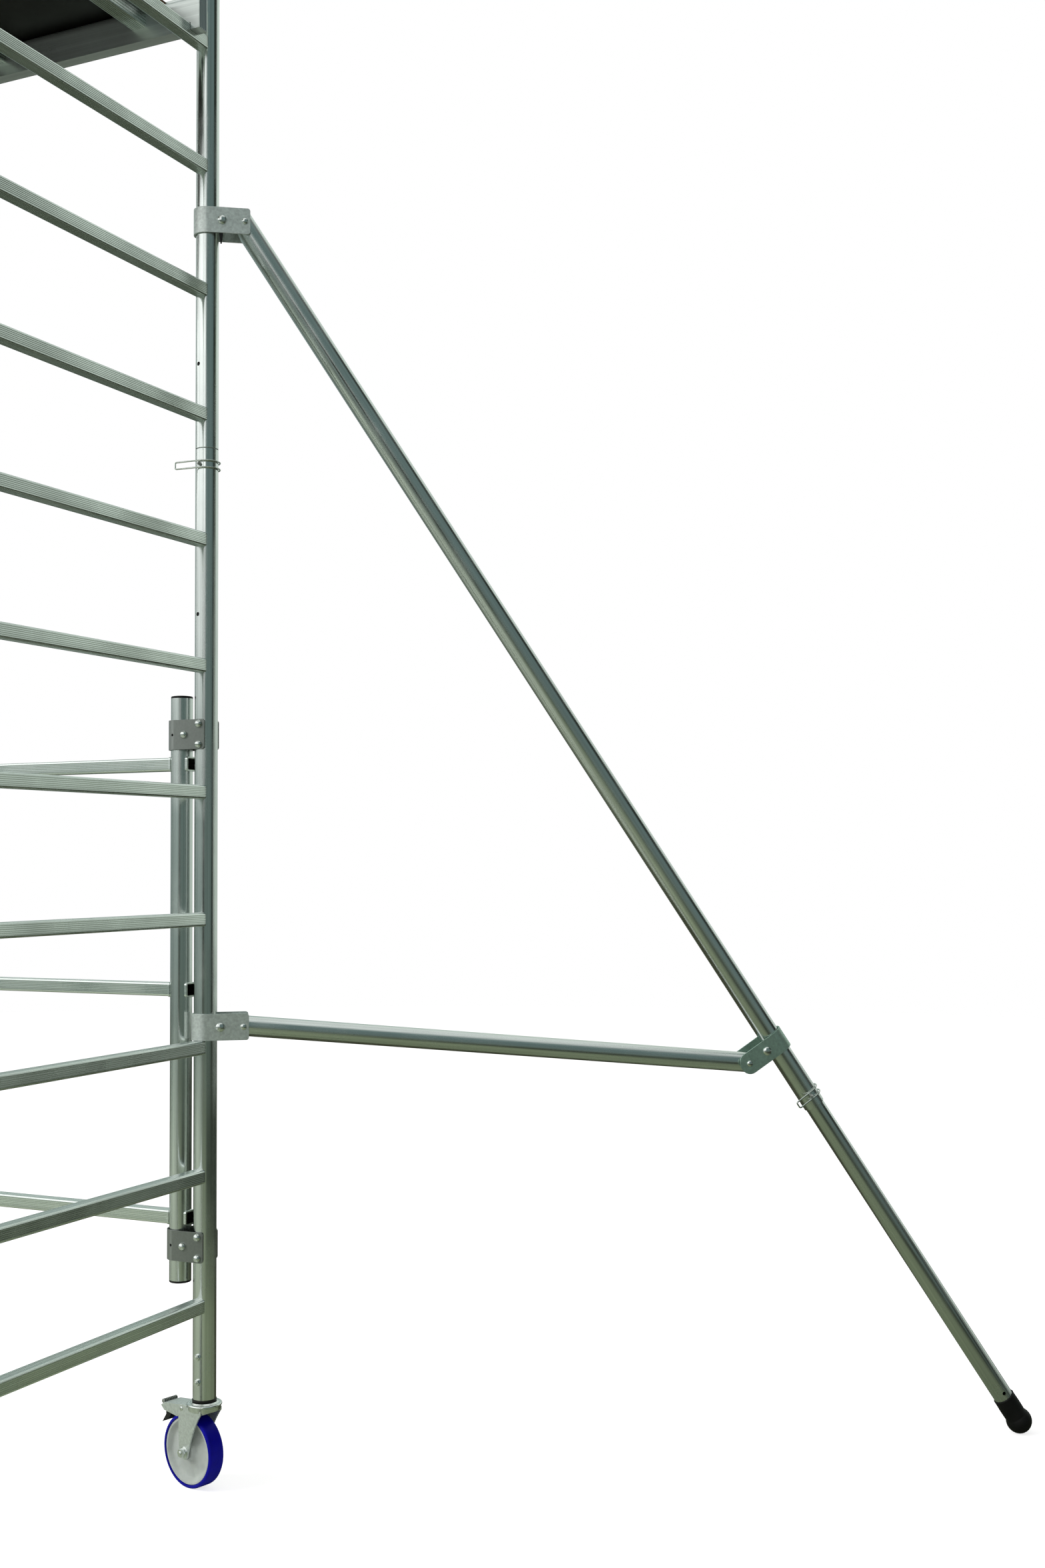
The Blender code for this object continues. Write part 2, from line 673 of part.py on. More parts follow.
def platform_frame(parent):
    """Two side beams with claws over the rungs, joined by cross tubes."""
    inner = BEAM_OUTER_Y - BEAM_WIDTH
    top = DECK_TOP - DECK_THICKNESS - GAP
    middle = top - CROSS_TUBE_HEIGHT / 2
    half_x, half_z = CROSS_TUBE_WIDTH / 2 - RUNG_WALL, CROSS_TUBE_HEIGHT / 2 - RUNG_WALL
    solids, cuts = [beam(1), beam(-1)], []
    for x in cross_tube_places():
        reach = inner + BEAM_WALL / 2
        through = inner + BEAM_WALL + PAST
        solids.append(bar((x, -reach, middle), (x, reach, middle), CROSS_TUBE_WIDTH, CROSS_TUBE_HEIGHT,
                          RUNG_CORNER))
        cuts.append(block((x - half_x, -through, middle - half_z), (x + half_x, through, middle + half_z)))
    half_notch = RUNG_SIZE / 2 + CLAW_CLEARANCE
    for side in (1, -1):
        near = sorted((side * (HALF_BAY - half_notch), side * (HALF_BAY + half_notch)))
        cuts.append(block((near[0], -HALF_WIDTH, BEAM_BOTTOM - PAST),
                          (near[1], HALF_WIDTH, PLATFORM_RUNG_Z + RUNG_SIZE / 2 + GAP)))
        pin = latch_pivot(side)
        solids.append(rod(pin - Vector((0, LATCH_SHEET + BEAM_WALL, 0)), pin + Vector((0, LATCH_SHEET, 0)),
                          LATCH_PIN_RADIUS, SMALL_ROUND))
    return part("platform_frame", combine(solids, cuts), "aluminium", parent)


def latch_pivot(side):
    """The pivot of a wind latch, on the near beam's inner face."""
    return Vector((side * (HALF_BAY - LATCH_PIVOT_INBOARD), LATCH_Y, PLATFORM_RUNG_Z + LATCH_PIVOT_RISE))


def platform_latch(side, parent):
    """A flat hook that swings in under the rung; its pivot is the origin."""
    floor = -LATCH_PIVOT_RISE - RUNG_SIZE / 2 - CLAW_CLEARANCE
    reach = LATCH_PIVOT_INBOARD + RUNG_SIZE / 4
    heel = LATCH_PIVOT_INBOARD - RUNG_SIZE / 2 - CLAW_CLEARANCE
    arm = LATCH_ARM / 2
    toe = floor - LATCH_HOOK / 2
    points = [*arc((0, 0), arm, 0, 180, SMALL_ROUND), (-arm, floor), (heel - LATCH_HOOK, toe), (reach, toe),
              (reach, floor), (heel - arm, floor), (arm, -arm)]
    bore = running_radius(LATCH_PIN_RADIUS, SMALL_ROUND)
    hole = arc((0, 0), bore, 360, 360 / SMALL_ROUND, SMALL_ROUND - 1)
    place = Matrix(((side, 0, 0, 0), (0, 0, -side, 0), (0, 1, 0, 0), (0, 0, 0, 1)))
    thing = outline(points, LATCH_SHEET, [hole], place)
    return part(f"platform_latch_{side_name(side)}", evaluated(thing), "zinc", parent, smooth=False)


def deck_panel(parent):
    """The plywood deck between the beams' lips, with the hatch opening cut out."""
    half_length = HALF_BAY - DECK_END_GAP
    half_width = BEAM_OUTER_Y - BEAM_LIP - GAP
    half_hatch = HATCH_LENGTH / 2 + HATCH_GAP
    low_x, high_x = HATCH_CENTRE_X - half_hatch, HATCH_CENTRE_X + half_hatch
    half_hole = HATCH_WIDTH / 2 + HATCH_GAP
    board = [(-half_length, -half_width), (half_length, -half_width), (half_length, half_width),
             (-half_length, half_width)]
    hole = [(low_x, -half_hole), (low_x, half_hole), (high_x, half_hole), (high_x, -half_hole)]
    place = Matrix.Translation((0, 0, DECK_TOP - DECK_THICKNESS / 2))
    mesh = evaluated(outline(board, DECK_THICKNESS, [hole], place))
    return part("deck_panel", mesh, "deck", parent, smooth=False)


def hatch_panel(parent):
    """The hatch; its origin is on the hinge line along its far top edge."""
    thing = block((-HATCH_LENGTH / 2, -HATCH_WIDTH, -DECK_THICKNESS), (HATCH_LENGTH / 2, 0, 0))
    return part("hatch_panel", evaluated(thing), "deck", parent, smooth=False)


def clip_outline(side, row):
    """The section of a C-shaped rail clip round an upright, open away from the bay's middle."""
    half = CLIP_MOUTH / 2
    inner = UPRIGHT_RADIUS + CLIP_GAP
    outer = inner + CLIP_SHEET
    first, last = row * 90 + half, row * 90 + 360 - half
    centre = (side * HALF_BAY, row * HALF_WIDTH)
    return [*arc(centre, outer, first, last, SMALL_ROUND), *arc(centre, inner, last, first, SMALL_ROUND)]


def guard_rail(row, parent):
    """A double guard rail with a C-shaped clip on each upright."""
    end = HALF_BAY - UPRIGHT_RADIUS - CLIP_GAP - CLIP_SHEET / 2
    y = row * HALF_WIDTH
    rails, posts, cuts = [], [], []
    for z in (RAIL_MID, RAIL_TOP):
        rails.append(rod((-end, y, z), (end, y, z), RAIL_RADIUS, SMALL_ROUND))
        cuts.append(rod((-end - CLIP_SHEET, y, z), (end + CLIP_SHEET, y, z), RAIL_RADIUS - RAIL_WALL,
                        SMALL_ROUND))
        for side in (1, -1):
            posts.append(outline(clip_outline(side, row), CLIP_HEIGHT, (), Matrix.Translation((0, 0, z))))
    for side in (1, -1):
        x = side * (HALF_BAY - RAIL_POST_INSET)
        posts.append(rod((x, y, RAIL_MID), (x, y, RAIL_TOP), RAIL_POST_RADIUS, SMALL_ROUND))
        cuts.append(rod((x, y, RAIL_MID), (x, y, RAIL_TOP), RAIL_POST_RADIUS - RAIL_WALL, SMALL_ROUND))
    return part(f"guard_rail_{row_name(row)}", combine(rails + posts, cuts), "aluminium", parent)


def castor_stem(name, parent):
    """The fixed half of a castor: plug, black ring, swivel pin and its nut."""
    plug = UPRIGHT_BORE - SLIDING_GAP
    seat = UPRIGHT_FOOT - GAP
    nut_top = CROWN_Z - GAP
    profile = [(0.0, seat + STEM_LENGTH), (plug, seat + STEM_LENGTH), (plug, seat), (RING_RADIUS, seat),
               (RING_RADIUS, seat - RING_HEIGHT),
               (SWIVEL_PIN_RADIUS, seat - RING_HEIGHT), (SWIVEL_PIN_RADIUS, nut_top),
               (SWIVEL_NUT_RADIUS, nut_top), (SWIVEL_NUT_RADIUS, nut_top - SWIVEL_PIN_RADIUS),
               (0.0, nut_top - SWIVEL_PIN_RADIUS)]
    return part(f"{name}_stem", evaluated(turned(profile, ROUND)), "black", parent)


def fork_leg(y):
    """One side of the fork: an eye on the axle, a straight rear edge and a front that tapers to the head."""
    eye = (-CASTOR_TRAIL, WHEEL_RADIUS)
    rear = -FORK_REAR
    shelf = HEAD_BOTTOM + FORK_SHEET
    points = [(rear, shelf), (-HEAD_RADIUS, shelf), (-HEAD_RADIUS, HEAD_BOTTOM),
              (FORK_FRONT, HEAD_BOTTOM), (FORK_FRONT, CROWN_Z - FORK_SHEET),
              *arc(eye, FORK_EYE, 10, -170, ARC_STEPS)]
    place = Matrix.Translation((0, y, 0)) @ Matrix.Rotation(math.pi / 2, 4, "X")
    return outline(points, FORK_SHEET, (), place)


def castor_fork(name, parent):
    """The swivelling fork: head, crown, two tapered legs, axle bolt and pedal pin."""
    leg_y = FORK_INNER_WIDTH / 2 + FORK_SHEET / 2
    outer_y = FORK_INNER_WIDTH / 2 + FORK_SHEET
    top = UPRIGHT_FOOT - RING_HEIGHT - 2 * GAP
    edge = HEAD_HEIGHT / 3
    sunk = HEAD_BOTTOM - FORK_SHEET / 2
    head = [(0.0, top), (HEAD_RADIUS - edge, top), (HEAD_RADIUS, top - edge), (HEAD_RADIUS, sunk),
            (0.0, sunk)]
    axle_nut = 2 * AXLE_RADIUS
    pedal = (-PEDAL_PIVOT_BACK, PEDAL_Z)
    solids = [
        turned(head, HEAD_ROUND),
        block((FORK_SHEET - HEAD_RADIUS, -leg_y, CROWN_Z), (FORK_FRONT - GAP, leg_y, HEAD_BOTTOM - GAP)),
        fork_leg(leg_y),
        fork_leg(-leg_y),
        rod((-CASTOR_TRAIL, -outer_y, WHEEL_RADIUS), (-CASTOR_TRAIL, outer_y, WHEEL_RADIUS), AXLE_RADIUS,
            SMALL_ROUND),
        rod((pedal[0], -outer_y, pedal[1]), (pedal[0], outer_y, pedal[1]), PEDAL_PIN_RADIUS, HEXAGON),
    ]
    for row in (1, -1):
        solids.append(rod((-CASTOR_TRAIL, row * (outer_y - GAP), WHEEL_RADIUS),
                          (-CASTOR_TRAIL, row * (outer_y + AXLE_RADIUS), WHEEL_RADIUS), axle_nut, HEXAGON))
        solids.append(rod((pedal[0], row * (outer_y - GAP), pedal[1]),
                          (pedal[0], row * (outer_y + PEDAL_PIN_RADIUS / 2), pedal[1]),
                          2 * PEDAL_PIN_RADIUS, HEXAGON))
    bore = running_hole((0, 0, CROWN_Z - PAST), (0, 0, HEAD_TOP + PAST), SWIVEL_PIN_RADIUS, ROUND)
    return part(f"{name}_fork", combine(solids, [bore]), "zinc", parent)


def wheel_core(name, parent):
    """The wheel's core, turned about the axle: hub, dished web and rim."""
    outer = WHEEL_RADIUS - TYRE_DEPTH - GAP
    inner = outer - RIM_DEPTH
    half = [(HUB_FACE_RADIUS, HUB_WIDTH / 2), (HUB_RADIUS, WEB_THICKNESS),
            (inner - WEB_EDGE_INSET, WEB_THICKNESS / 2), (inner, RIM_WIDTH / 2), (outer, RIM_WIDTH / 2)]
    bore = running_radius(AXLE_RADIUS, WHEEL_ROUND)
    profile = [(bore, HUB_WIDTH / 2), *half, *((r, -h) for r, h in reversed(half)), (bore, -HUB_WIDTH / 2)]
    turn = Matrix.Rotation(math.pi / 2, 4, "X")
    mesh = evaluated(turned(profile, WHEEL_ROUND, turn, ring=True))
    return part(f"{name}_wheel_core", mesh, "core", parent)


def tyre(name, parent):
    """The tyre round the core, with rounded shoulders."""
    inner = WHEEL_RADIUS - TYRE_DEPTH
    half = TYRE_WIDTH / 2
    shoulder = TYRE_DEPTH / 2
    side = [(inner, half), (WHEEL_RADIUS - shoulder / 2, half), (WHEEL_RADIUS, half - shoulder)]
    profile = [*side, *((r, -h) for r, h in reversed(side))]
    turn = Matrix.Rotation(math.pi / 2, 4, "X")
    return part(f"{name}_tyre", evaluated(turned(profile, WHEEL_ROUND, turn, ring=True)), "blue", parent)


def brake_pedal(name, parent):
    """A folded pedal between the fork legs; its pivot is the origin and it points backwards."""
    half = FORK_INNER_WIDTH / 2 - PEDAL_SHEET
    barrel = 2 * PEDAL_PIN_RADIUS
    top = barrel
    arm = -PEDAL_REACH + PEDAL_PAD_LENGTH
    side = [(0, top), (arm, top), (-PEDAL_REACH, top + PEDAL_PAD_RISE),
            (-PEDAL_REACH, top + PEDAL_PAD_RISE - PEDAL_SHEET), (arm, top - PEDAL_SHEET),
            (-PEDAL_REACH / 2, top - PEDAL_FLANGE_MID), (-barrel, top - PEDAL_FLANGE),
            (0, top - PEDAL_FLANGE)]
    inside = arm + PEDAL_SHEET
    under = [(PAST, top - PEDAL_SHEET), (inside, top - PEDAL_SHEET), (inside, -2 * PAST), (PAST, -2 * PAST)]
    turn = Matrix.Rotation(math.pi / 2, 4, "X")
    shell = outline(side, 2 * half, (), turn)
    hollow = outline(under, 2 * (half - PEDAL_SHEET), (), turn)
    folded = solid(combine([shell], [hollow]))
    tube = rod((0, -half, 0), (0, half, 0), barrel, SMALL_ROUND)
    bore = running_hole((0, -half - PAST, 0), (0, half + PAST, 0), PEDAL_PIN_RADIUS, SMALL_ROUND)
    return part(f"{name}_brake_pedal", combine([folded, tube], [bore]), "zinc", parent)


def castor(side, row, tower):
    """One castor under an upright, with pivots for its swivel, wheel and pedal."""
    name = f"castor_{row_name(row)}_{side_name(side)}"
    foot = pivot(f"{name}_foot", tower, Matrix.Translation((side * HALF_BAY, row * HALF_WIDTH, 0)))
    castor_stem(name, foot)
    swivel = pivot(f"{name}_swivel", foot, Matrix.Rotation(math.radians(CASTOR_TURN), 4, "Z"))
    castor_fork(name, swivel)
    axle = pivot(f"{name}_axle", swivel, Matrix.Translation((-CASTOR_TRAIL, 0, WHEEL_RADIUS)))
    wheel_core(name, axle)
    tyre(name, axle)
    hinge = pivot(f"{name}_pedal_pivot", swivel, Matrix.Translation((-PEDAL_PIVOT_BACK, 0, PEDAL_Z)))
    brake_pedal(name, hinge)


def along_leg(distance):
    """A point on the leg's axis, measured down from its top pivot, in the stabiliser's plane."""
    return Vector((PIVOT_BOLT_REACH, 0, TOP_STRAP_Z)) + LEG_DIRECTION * distance


def slider_frame():
    """The slider strap's frame on the leg: Z up the leg, X square to it towards the tower."""
    up = -LEG_DIRECTION
    square = Vector((-up.z, 0, up.x))
    turn = Matrix((square, up.cross(square), up)).transposed().to_4x4()
    return Matrix.Translation(along_leg(SLIDER_ALONG_LEG)) @ turn


def clamp_strap(name, clamped, held, height, end, corner, front, place, metal, parent):
    """A stabiliser strap clamped round one tube, with another tube held on its pivot bolt."""
    inner = max(clamped, held) + STRAP_GAP
    half = inner + STRAP_SHEET
    solids = [strap_solid(inner, STRAP_SHEET, PIVOT_BOLT_REACH + end, height, corner)]
    clamp_bolt = clamped + CLAMP_BOLT_GAP + CLAMP_BOLT_RADIUS
    solids += bolt_solids(clamp_bolt, 0, half, CLAMP_BOLT_RADIUS, CLAMP_HEAD_RADIUS, front)
    solids += bolt_solids(PIVOT_BOLT_REACH, 0, half, PIVOT_BOLT_RADIUS, PIVOT_HEAD_RADIUS, front)
    mesh = combine(solids)
    mesh.transform(place)
    return part(name, mesh, metal, parent)


def pivot_hole(point):
    """A hole for a pivot bolt, square to the stabiliser's plane."""
    reach = Vector((0, LEG_RADIUS + PAST, 0))
    return running_hole(point - reach, point + reach, PIVOT_BOLT_RADIUS, HEXAGON)


def leg_tube(name, front, parent):
    """The outer leg tube with its top pivot hole and the head and tip of its lock pin."""
    start, end = along_leg(-LEG_PAST_PIVOT), along_leg(LEG_LENGTH)
    bore = LEG_RADIUS - LEG_WALL
    past = LEG_DIRECTION * PAST
    cuts = [rod(start - past, end + past, bore), pivot_hole(along_leg(0))]
    tube = combine([rod(start, end, LEG_RADIUS)], cuts)
    pin_centre = along_leg(LEG_LENGTH - LEG_PIN_ABOVE_END)
    pieces, drill = lock_pin(pin_centre, (0, 1, 0), -LEG_DIRECTION, -front, LEG_RADIUS)
    clear = rod(along_leg(LEG_LENGTH - 2 * LEG_PIN_ABOVE_END), end + past, bore)
    mesh = combine([solid(tube), *pieces], [drill, clear])
    return part(f"{name}_leg_tube", mesh, "aluminium", parent)


def leg_extension(name, parent):
    """The inner leg tube, from inside the outer tube down into the foot."""
    start = along_leg(LEG_LENGTH - EXTENSION_INSIDE)
    end = along_leg(LEG_FULL - FOOT_BALL_RADIUS)
    past = LEG_DIRECTION * PAST
    bore = rod(start - past, end + past, EXTENSION_RADIUS - EXTENSION_WALL)
    mesh = combine([rod(start, end, EXTENSION_RADIUS)], [bore])
    return part(f"{name}_leg_extension", mesh, "aluminium", parent)


def rubber_foot(name, parent):
    """The rubber foot: a socket round the end of the extension, on a ball that stands on the ground."""
    join = math.sqrt(FOOT_BALL_RADIUS ** 2 - FOOT_SOCKET_RADIUS ** 2)
    waist = math.degrees(math.asin(join / FOOT_BALL_RADIUS))
    ball = arc((0, 0), FOOT_BALL_RADIUS, waist, -90, ARC_STEPS)
    profile = [(0.0, FOOT_SOCKET_LENGTH), (FOOT_SOCKET_RADIUS - FOOT_SOCKET_EDGE, FOOT_SOCKET_LENGTH),
               (FOOT_SOCKET_RADIUS, FOOT_SOCKET_LENGTH - FOOT_SOCKET_EDGE), *ball]
    profile[-1] = (0.0, -FOOT_BALL_RADIUS)
    turn = (-LEG_DIRECTION).to_track_quat("Z", "Y").to_matrix().to_4x4()
    place = Matrix.Translation(along_leg(LEG_FULL)) @ turn
    socket = rod(along_leg(LEG_FULL - FOOT_BALL_RADIUS + GAP),
                 along_leg(LEG_FULL - FOOT_SOCKET_LENGTH - PAST), EXTENSION_RADIUS + GAP)
    reach = FOOT_REACH + 2 * FOOT_BALL_RADIUS
    ground = block((0, -FOOT_BALL_RADIUS * 2, -FOOT_BALL_RADIUS), (reach, FOOT_BALL_RADIUS * 2, 0))
    mesh = combine([turned(profile, ROUND, place)], [socket, ground])
    return part(f"{name}_foot", mesh, "rubber", parent)


def brace_tube(name, slider_pivot, parent):
    """The brace from the bottom strap's pivot to the slider strap's pivot."""
    first = Vector((PIVOT_BOLT_REACH, 0, BOTTOM_STRAP_Z))
    run = (slider_pivot - first).normalized()
    start, end = first - run * BRACE_PAST_PIVOT, slider_pivot + run * BRACE_PAST_PIVOT
    bore = rod(start - run * PAST, end + run * PAST, BRACE_RADIUS - BRACE_WALL)
    mesh = combine([rod(start, end, BRACE_RADIUS)], [bore, pivot_hole(first), pivot_hole(slider_pivot)])
    return part(f"{name}_brace_tube", mesh, "aluminium", parent)


def stabiliser(side, tower):
    """A stabiliser clamped to a far upright, with pivots for its swing, its extension and its lock bow."""
    name = f"stabiliser_{side_name(side)}"
    turn = math.radians(STABILISER_TURN if side > 0 else 180 - STABILISER_TURN)
    place = Matrix.Translation((side * HALF_BAY, HALF_WIDTH, 0)) @ Matrix.Rotation(turn, 4, "Z")
    swing = pivot(f"{name}_swing", tower, place)
    front = -side
    slider = slider_frame()
    at_top = Matrix.Translation((0, 0, TOP_STRAP_Z))
    at_bottom = Matrix.Translation((0, 0, BOTTOM_STRAP_Z))
    clamp_strap(f"{name}_top_strap", UPRIGHT_RADIUS, LEG_RADIUS, STRAP_HEIGHT, STRAP_END, STRAP_CORNER,
                front, at_top, "zinc", swing)
    clamp_strap(f"{name}_bottom_strap", UPRIGHT_RADIUS, BRACE_RADIUS, STRAP_HEIGHT, STRAP_END, STRAP_CORNER,
                front, at_bottom, "zinc", swing)
    clamp_strap(f"{name}_slider_strap", LEG_RADIUS, BRACE_RADIUS, SLIDER_HEIGHT, SLIDER_END, SLIDER_CORNER,
                front, slider, "green_zinc", swing)
    leg_tube(name, front, swing)
    brace_tube(name, slider @ Vector((PIVOT_BOLT_REACH, 0, 0)), swing)
    slide = pivot(f"{name}_slide", swing)
    leg_extension(name, slide)
    rubber_foot(name, slide)
    eye = along_leg(LEG_LENGTH - LEG_PIN_ABOVE_END) + Vector((0, -front * pin_eye(LEG_RADIUS), 0))
    up = -LEG_DIRECTION
    lean = Matrix((Vector((0, 1, 0)).cross(up), Vector((0, 1, 0)), up)).transposed().to_4x4()
    hinge = pivot(f"{name}_bow_pivot", swing, Matrix.Translation(eye) @ lean)
    bow(f"{name}_lock_bow", hinge, -front, 1, LEG_BOW_FINGER, LEG_RADIUS)


def centre_footprint(tower):
    """Put the middle of the whole footprint at the origin."""
    bpy.context.view_layer.update()
    points = [thing.matrix_world @ vertex.co
              for thing in PARTS.objects if thing.type == "MESH" for vertex in thing.data.vertices]
    for axis in (0, 1):
        values = [point[axis] for point in points]
        tower.location[axis] -= (min(values) + max(values)) / 2
    bpy.context.view_layer.update()


def build_tower():
    """Every piece of the tower, under one empty."""
    tower = pivot("tower", None)
    for side in (1, -1):
        end = pivot(f"end_{side_name(side)}", tower, Matrix.Translation((side * HALF_BAY, 0, 0)))
        base_frame(side, end)
        upper_frame(side, end)
        for row in (1, -1):
            castor(side, row, tower)
            corner = f"{row_name(row)}_{side_name(side)}"
            eye = (side * HALF_BAY, row * (HALF_WIDTH + pin_eye(UPRIGHT_RADIUS)), JOINT_Z - PIN_BELOW_JOINT)
            hinge = pivot(f"bow_pivot_{corner}", tower, Matrix.Translation(eye))
            bow(f"frame_lock_bow_{corner}", hinge, row, side, FRAME_BOW_FINGER, UPRIGHT_RADIUS)
        for level in (0, 1):
            hinge_strap(side, level, tower)
        for end_of_post in (1, -1):
            post_cap(side, end_of_post, tower)
        stabiliser(side, tower)
        latch = pivot(f"latch_pivot_{side_name(side)}", tower, Matrix.Translation(latch_pivot(side)))
        platform_latch(side, latch)
    side_gate(tower)
    platform_frame(tower)
    deck_panel(tower)
    hinge_line = (HATCH_CENTRE_X, HATCH_HINGE_Y, DECK_TOP)
    hatch_panel(pivot("hatch_hinge", tower, Matrix.Translation(hinge_line)))
    for row in (1, -1):
        guard_rail(row, tower)
    centre_footprint(tower)


clear_scene()
PARTS = collection("mobile_tower_scaffold")
WORKSHOP = collection("workshop")
METALS.update(make_materials())
build_tower()
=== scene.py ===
"""Looks of a narrow aluminium mobile tower scaffold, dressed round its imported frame.

Metres, in the frame's own axes: +X along the bay, +Y across it to the side that carries the stabilisers,
+Z up. Places in the classes are measured from the middle of the tower, which the frame gives.
"""

import json
import logging
import math
from dataclasses import dataclass
from enum import Enum
from functools import cache

import bmesh
import bpy
from mathutils import Matrix, Vector

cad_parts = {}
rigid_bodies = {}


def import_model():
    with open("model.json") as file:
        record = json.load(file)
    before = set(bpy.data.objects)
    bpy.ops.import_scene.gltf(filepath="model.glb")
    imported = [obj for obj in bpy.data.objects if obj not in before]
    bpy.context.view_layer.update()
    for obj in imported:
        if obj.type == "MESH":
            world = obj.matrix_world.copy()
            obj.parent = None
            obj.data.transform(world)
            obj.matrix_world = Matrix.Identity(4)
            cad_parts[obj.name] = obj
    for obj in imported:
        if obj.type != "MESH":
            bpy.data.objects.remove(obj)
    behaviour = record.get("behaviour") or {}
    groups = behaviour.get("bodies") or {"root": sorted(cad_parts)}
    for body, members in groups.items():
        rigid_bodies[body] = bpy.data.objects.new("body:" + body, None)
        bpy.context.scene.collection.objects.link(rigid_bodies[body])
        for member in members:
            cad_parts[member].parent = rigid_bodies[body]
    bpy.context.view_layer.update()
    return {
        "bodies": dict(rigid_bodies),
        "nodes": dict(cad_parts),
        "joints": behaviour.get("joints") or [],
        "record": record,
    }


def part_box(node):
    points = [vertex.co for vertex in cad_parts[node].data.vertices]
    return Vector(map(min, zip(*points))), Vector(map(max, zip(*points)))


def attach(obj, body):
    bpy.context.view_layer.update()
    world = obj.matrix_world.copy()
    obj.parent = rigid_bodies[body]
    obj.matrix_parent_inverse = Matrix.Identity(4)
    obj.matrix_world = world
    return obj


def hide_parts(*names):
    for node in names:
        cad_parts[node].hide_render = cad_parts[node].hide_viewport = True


LOG = logging.getLogger("tower")

Point = tuple[float, float]
Loop = list[Point]
Colour = tuple[float, float, float]
Stops = list[tuple[float, Colour]]
Mesh = bmesh.types.BMesh
Node = bpy.types.Node
Socket = bpy.types.NodeSocket
Tree = bpy.types.NodeTree

# Facets and shading
ROUND = 48
SMALL_ROUND = 24
WIRE_ROUND = 12
BEND_STEPS = 16
CORNER_STEPS = 4
DOME_STEPS = 8
STRAP_STEPS = 6
HOOP_STEPS = 10
SHARP_ANGLE = math.radians(38.0)
SOFT_ANGLE = math.radians(40.0)
TINY = 1e-6
LIP = 0.0005
EDGE = 0.0006
PAST = 0.01
ALONG = "along"

# Tubes that several sub-assemblies share
UPRIGHT_RADIUS = 0.0254
TUBE_WALL = 0.002
RUNG_SIZE = 0.030
RUNG_WALL = 0.0025
RUNG_CORNER = 0.004
RUNG_RIBS = 6
RIB_DEPTH = 0.0008
# A groove's points, as shares of the ribs' pitch and of its depth
GROOVE = ((0.30, 0.0), (0.33, 1.0), (0.67, 1.0), (0.70, 0.0))
FIRST_RUNG = 0.400
RUNG_PITCH = 0.280
RUNGS_PER_FRAME = 7
UPRIGHT_FOOT = 0.198
JOINT_ABOVE_RUNG = 0.204
JOINT_Z = FIRST_RUNG + RUNG_PITCH * (RUNGS_PER_FRAME - 1) + JOINT_ABOVE_RUNG
TOP_Z = JOINT_Z + RUNG_PITCH * RUNGS_PER_FRAME
PIN_BELOW_JOINT = 0.036

# Lock pins
PIN_SIDES = 6
PIN_RADIUS = 0.0042
PIN_TIP = 0.012
PIN_TAPER = 0.0075
PIN_POINT = (0.0012, 0.0004)
PIN_SUNK = 0.002
PIN_HEAD_RADIUS = 0.0055
PIN_HEAD_LENGTH = 0.008
PIN_HEAD_GAP = 0.0002
PIN_HEAD_FOOT = (0.0003, 0.0010)
PIN_HEAD_CROWN = (0.0015, 0.0014)

# Bolt heads and nuts, as shares of their own sizes
BRIM_SHARE = 0.12
CHAMFER_SHARE = 0.09
WASHER_RISE = 0.14
WASHER_REACH = 1.12
NUT_RISE = 0.85
BOLT_RISE = 1.25
NUT_SHARE = 0.95

# The photograph's viewing direction, in degrees
VIEW_YAW = 24.675


class Way(Enum):
    """A way out from the tower's middle, whose value is its sign."""

    @property
    def word(self) -> str:
        """The way's word in node names."""
        return self.name.lower()


class Side(Way):
    """An end of the bay."""

    RIGHT = 1
    LEFT = -1


class Row(Way):
    """A long side of the bay."""

    FAR = 1
    NEAR = -1


# Mesh tools


def arc(centre: Point, radius: float, first: float, last: float, steps: int) -> Loop:
    """Points on an arc.

    Args:
        centre: the arc's centre.
        radius: its radius.
        first: the first angle in degrees.
        last: the last angle in degrees.
        steps: the number of steps between them.

    Returns:
        The points in order, both ends included.
    """
    angles = [math.radians(first + (last - first) * i / steps) for i in range(steps + 1)]
    return [(centre[0] + radius * math.cos(a), centre[1] + radius * math.sin(a)) for a in angles]


def quarter(steps: int) -> Loop:
    """Points on a quarter of a unit circle from its foot, with its top left out."""
    return arc((0.0, 0.0), 1.0, 0.0, 90.0, steps)[:-1]


def polygon(radius: float, sides: int) -> Loop:
    """The corners of a regular polygon of that corner radius."""
    return arc((0.0, 0.0), radius, 0.0, 360.0 * (sides - 1) / sides, sides - 1)


def ribbed_section(width: float, height: float, corner: float, ribs: int, depth: float) -> Loop:
    """A rectangular section with rounded corners and shallow grooves along its sides.

    Args:
        width: the section's width.
        height: its height.
        corner: the radius of its corners.
        ribs: the number of grooves on each side.
        depth: the depth of a groove.

    Returns:
        The section's outline, anticlockwise.
    """
    points: Loop = []
    for turn, (reach, half) in enumerate(((width / 2, height / 2), (height / 2, width / 2)) * 2):
        run = half - corner
        pitch = 2 * run / ribs
        side: Loop = [(reach, -run)]
        for rib in range(ribs):
            for share, sunk in GROOVE:
                side.append((reach - depth * sunk, -run + pitch * (rib + share)))
        side += arc((reach - corner, run), corner, 0.0, 90.0, CORNER_STEPS)[:-1]
        spin = Matrix.Rotation(math.radians(90 * turn), 2)
        points += [tuple(spin @ Vector(point)) for point in side]
    return points


def square_inside(outer: Loop, width: float, height: float) -> Loop:
    """A rectangular hollow with one point for each point of the outline round it."""
    hollow = []
    for x, y in outer:
        scale = 1 / max(abs(x) / (width / 2), abs(y) / (height / 2))
        hollow.append((x * scale, y * scale))
    return hollow


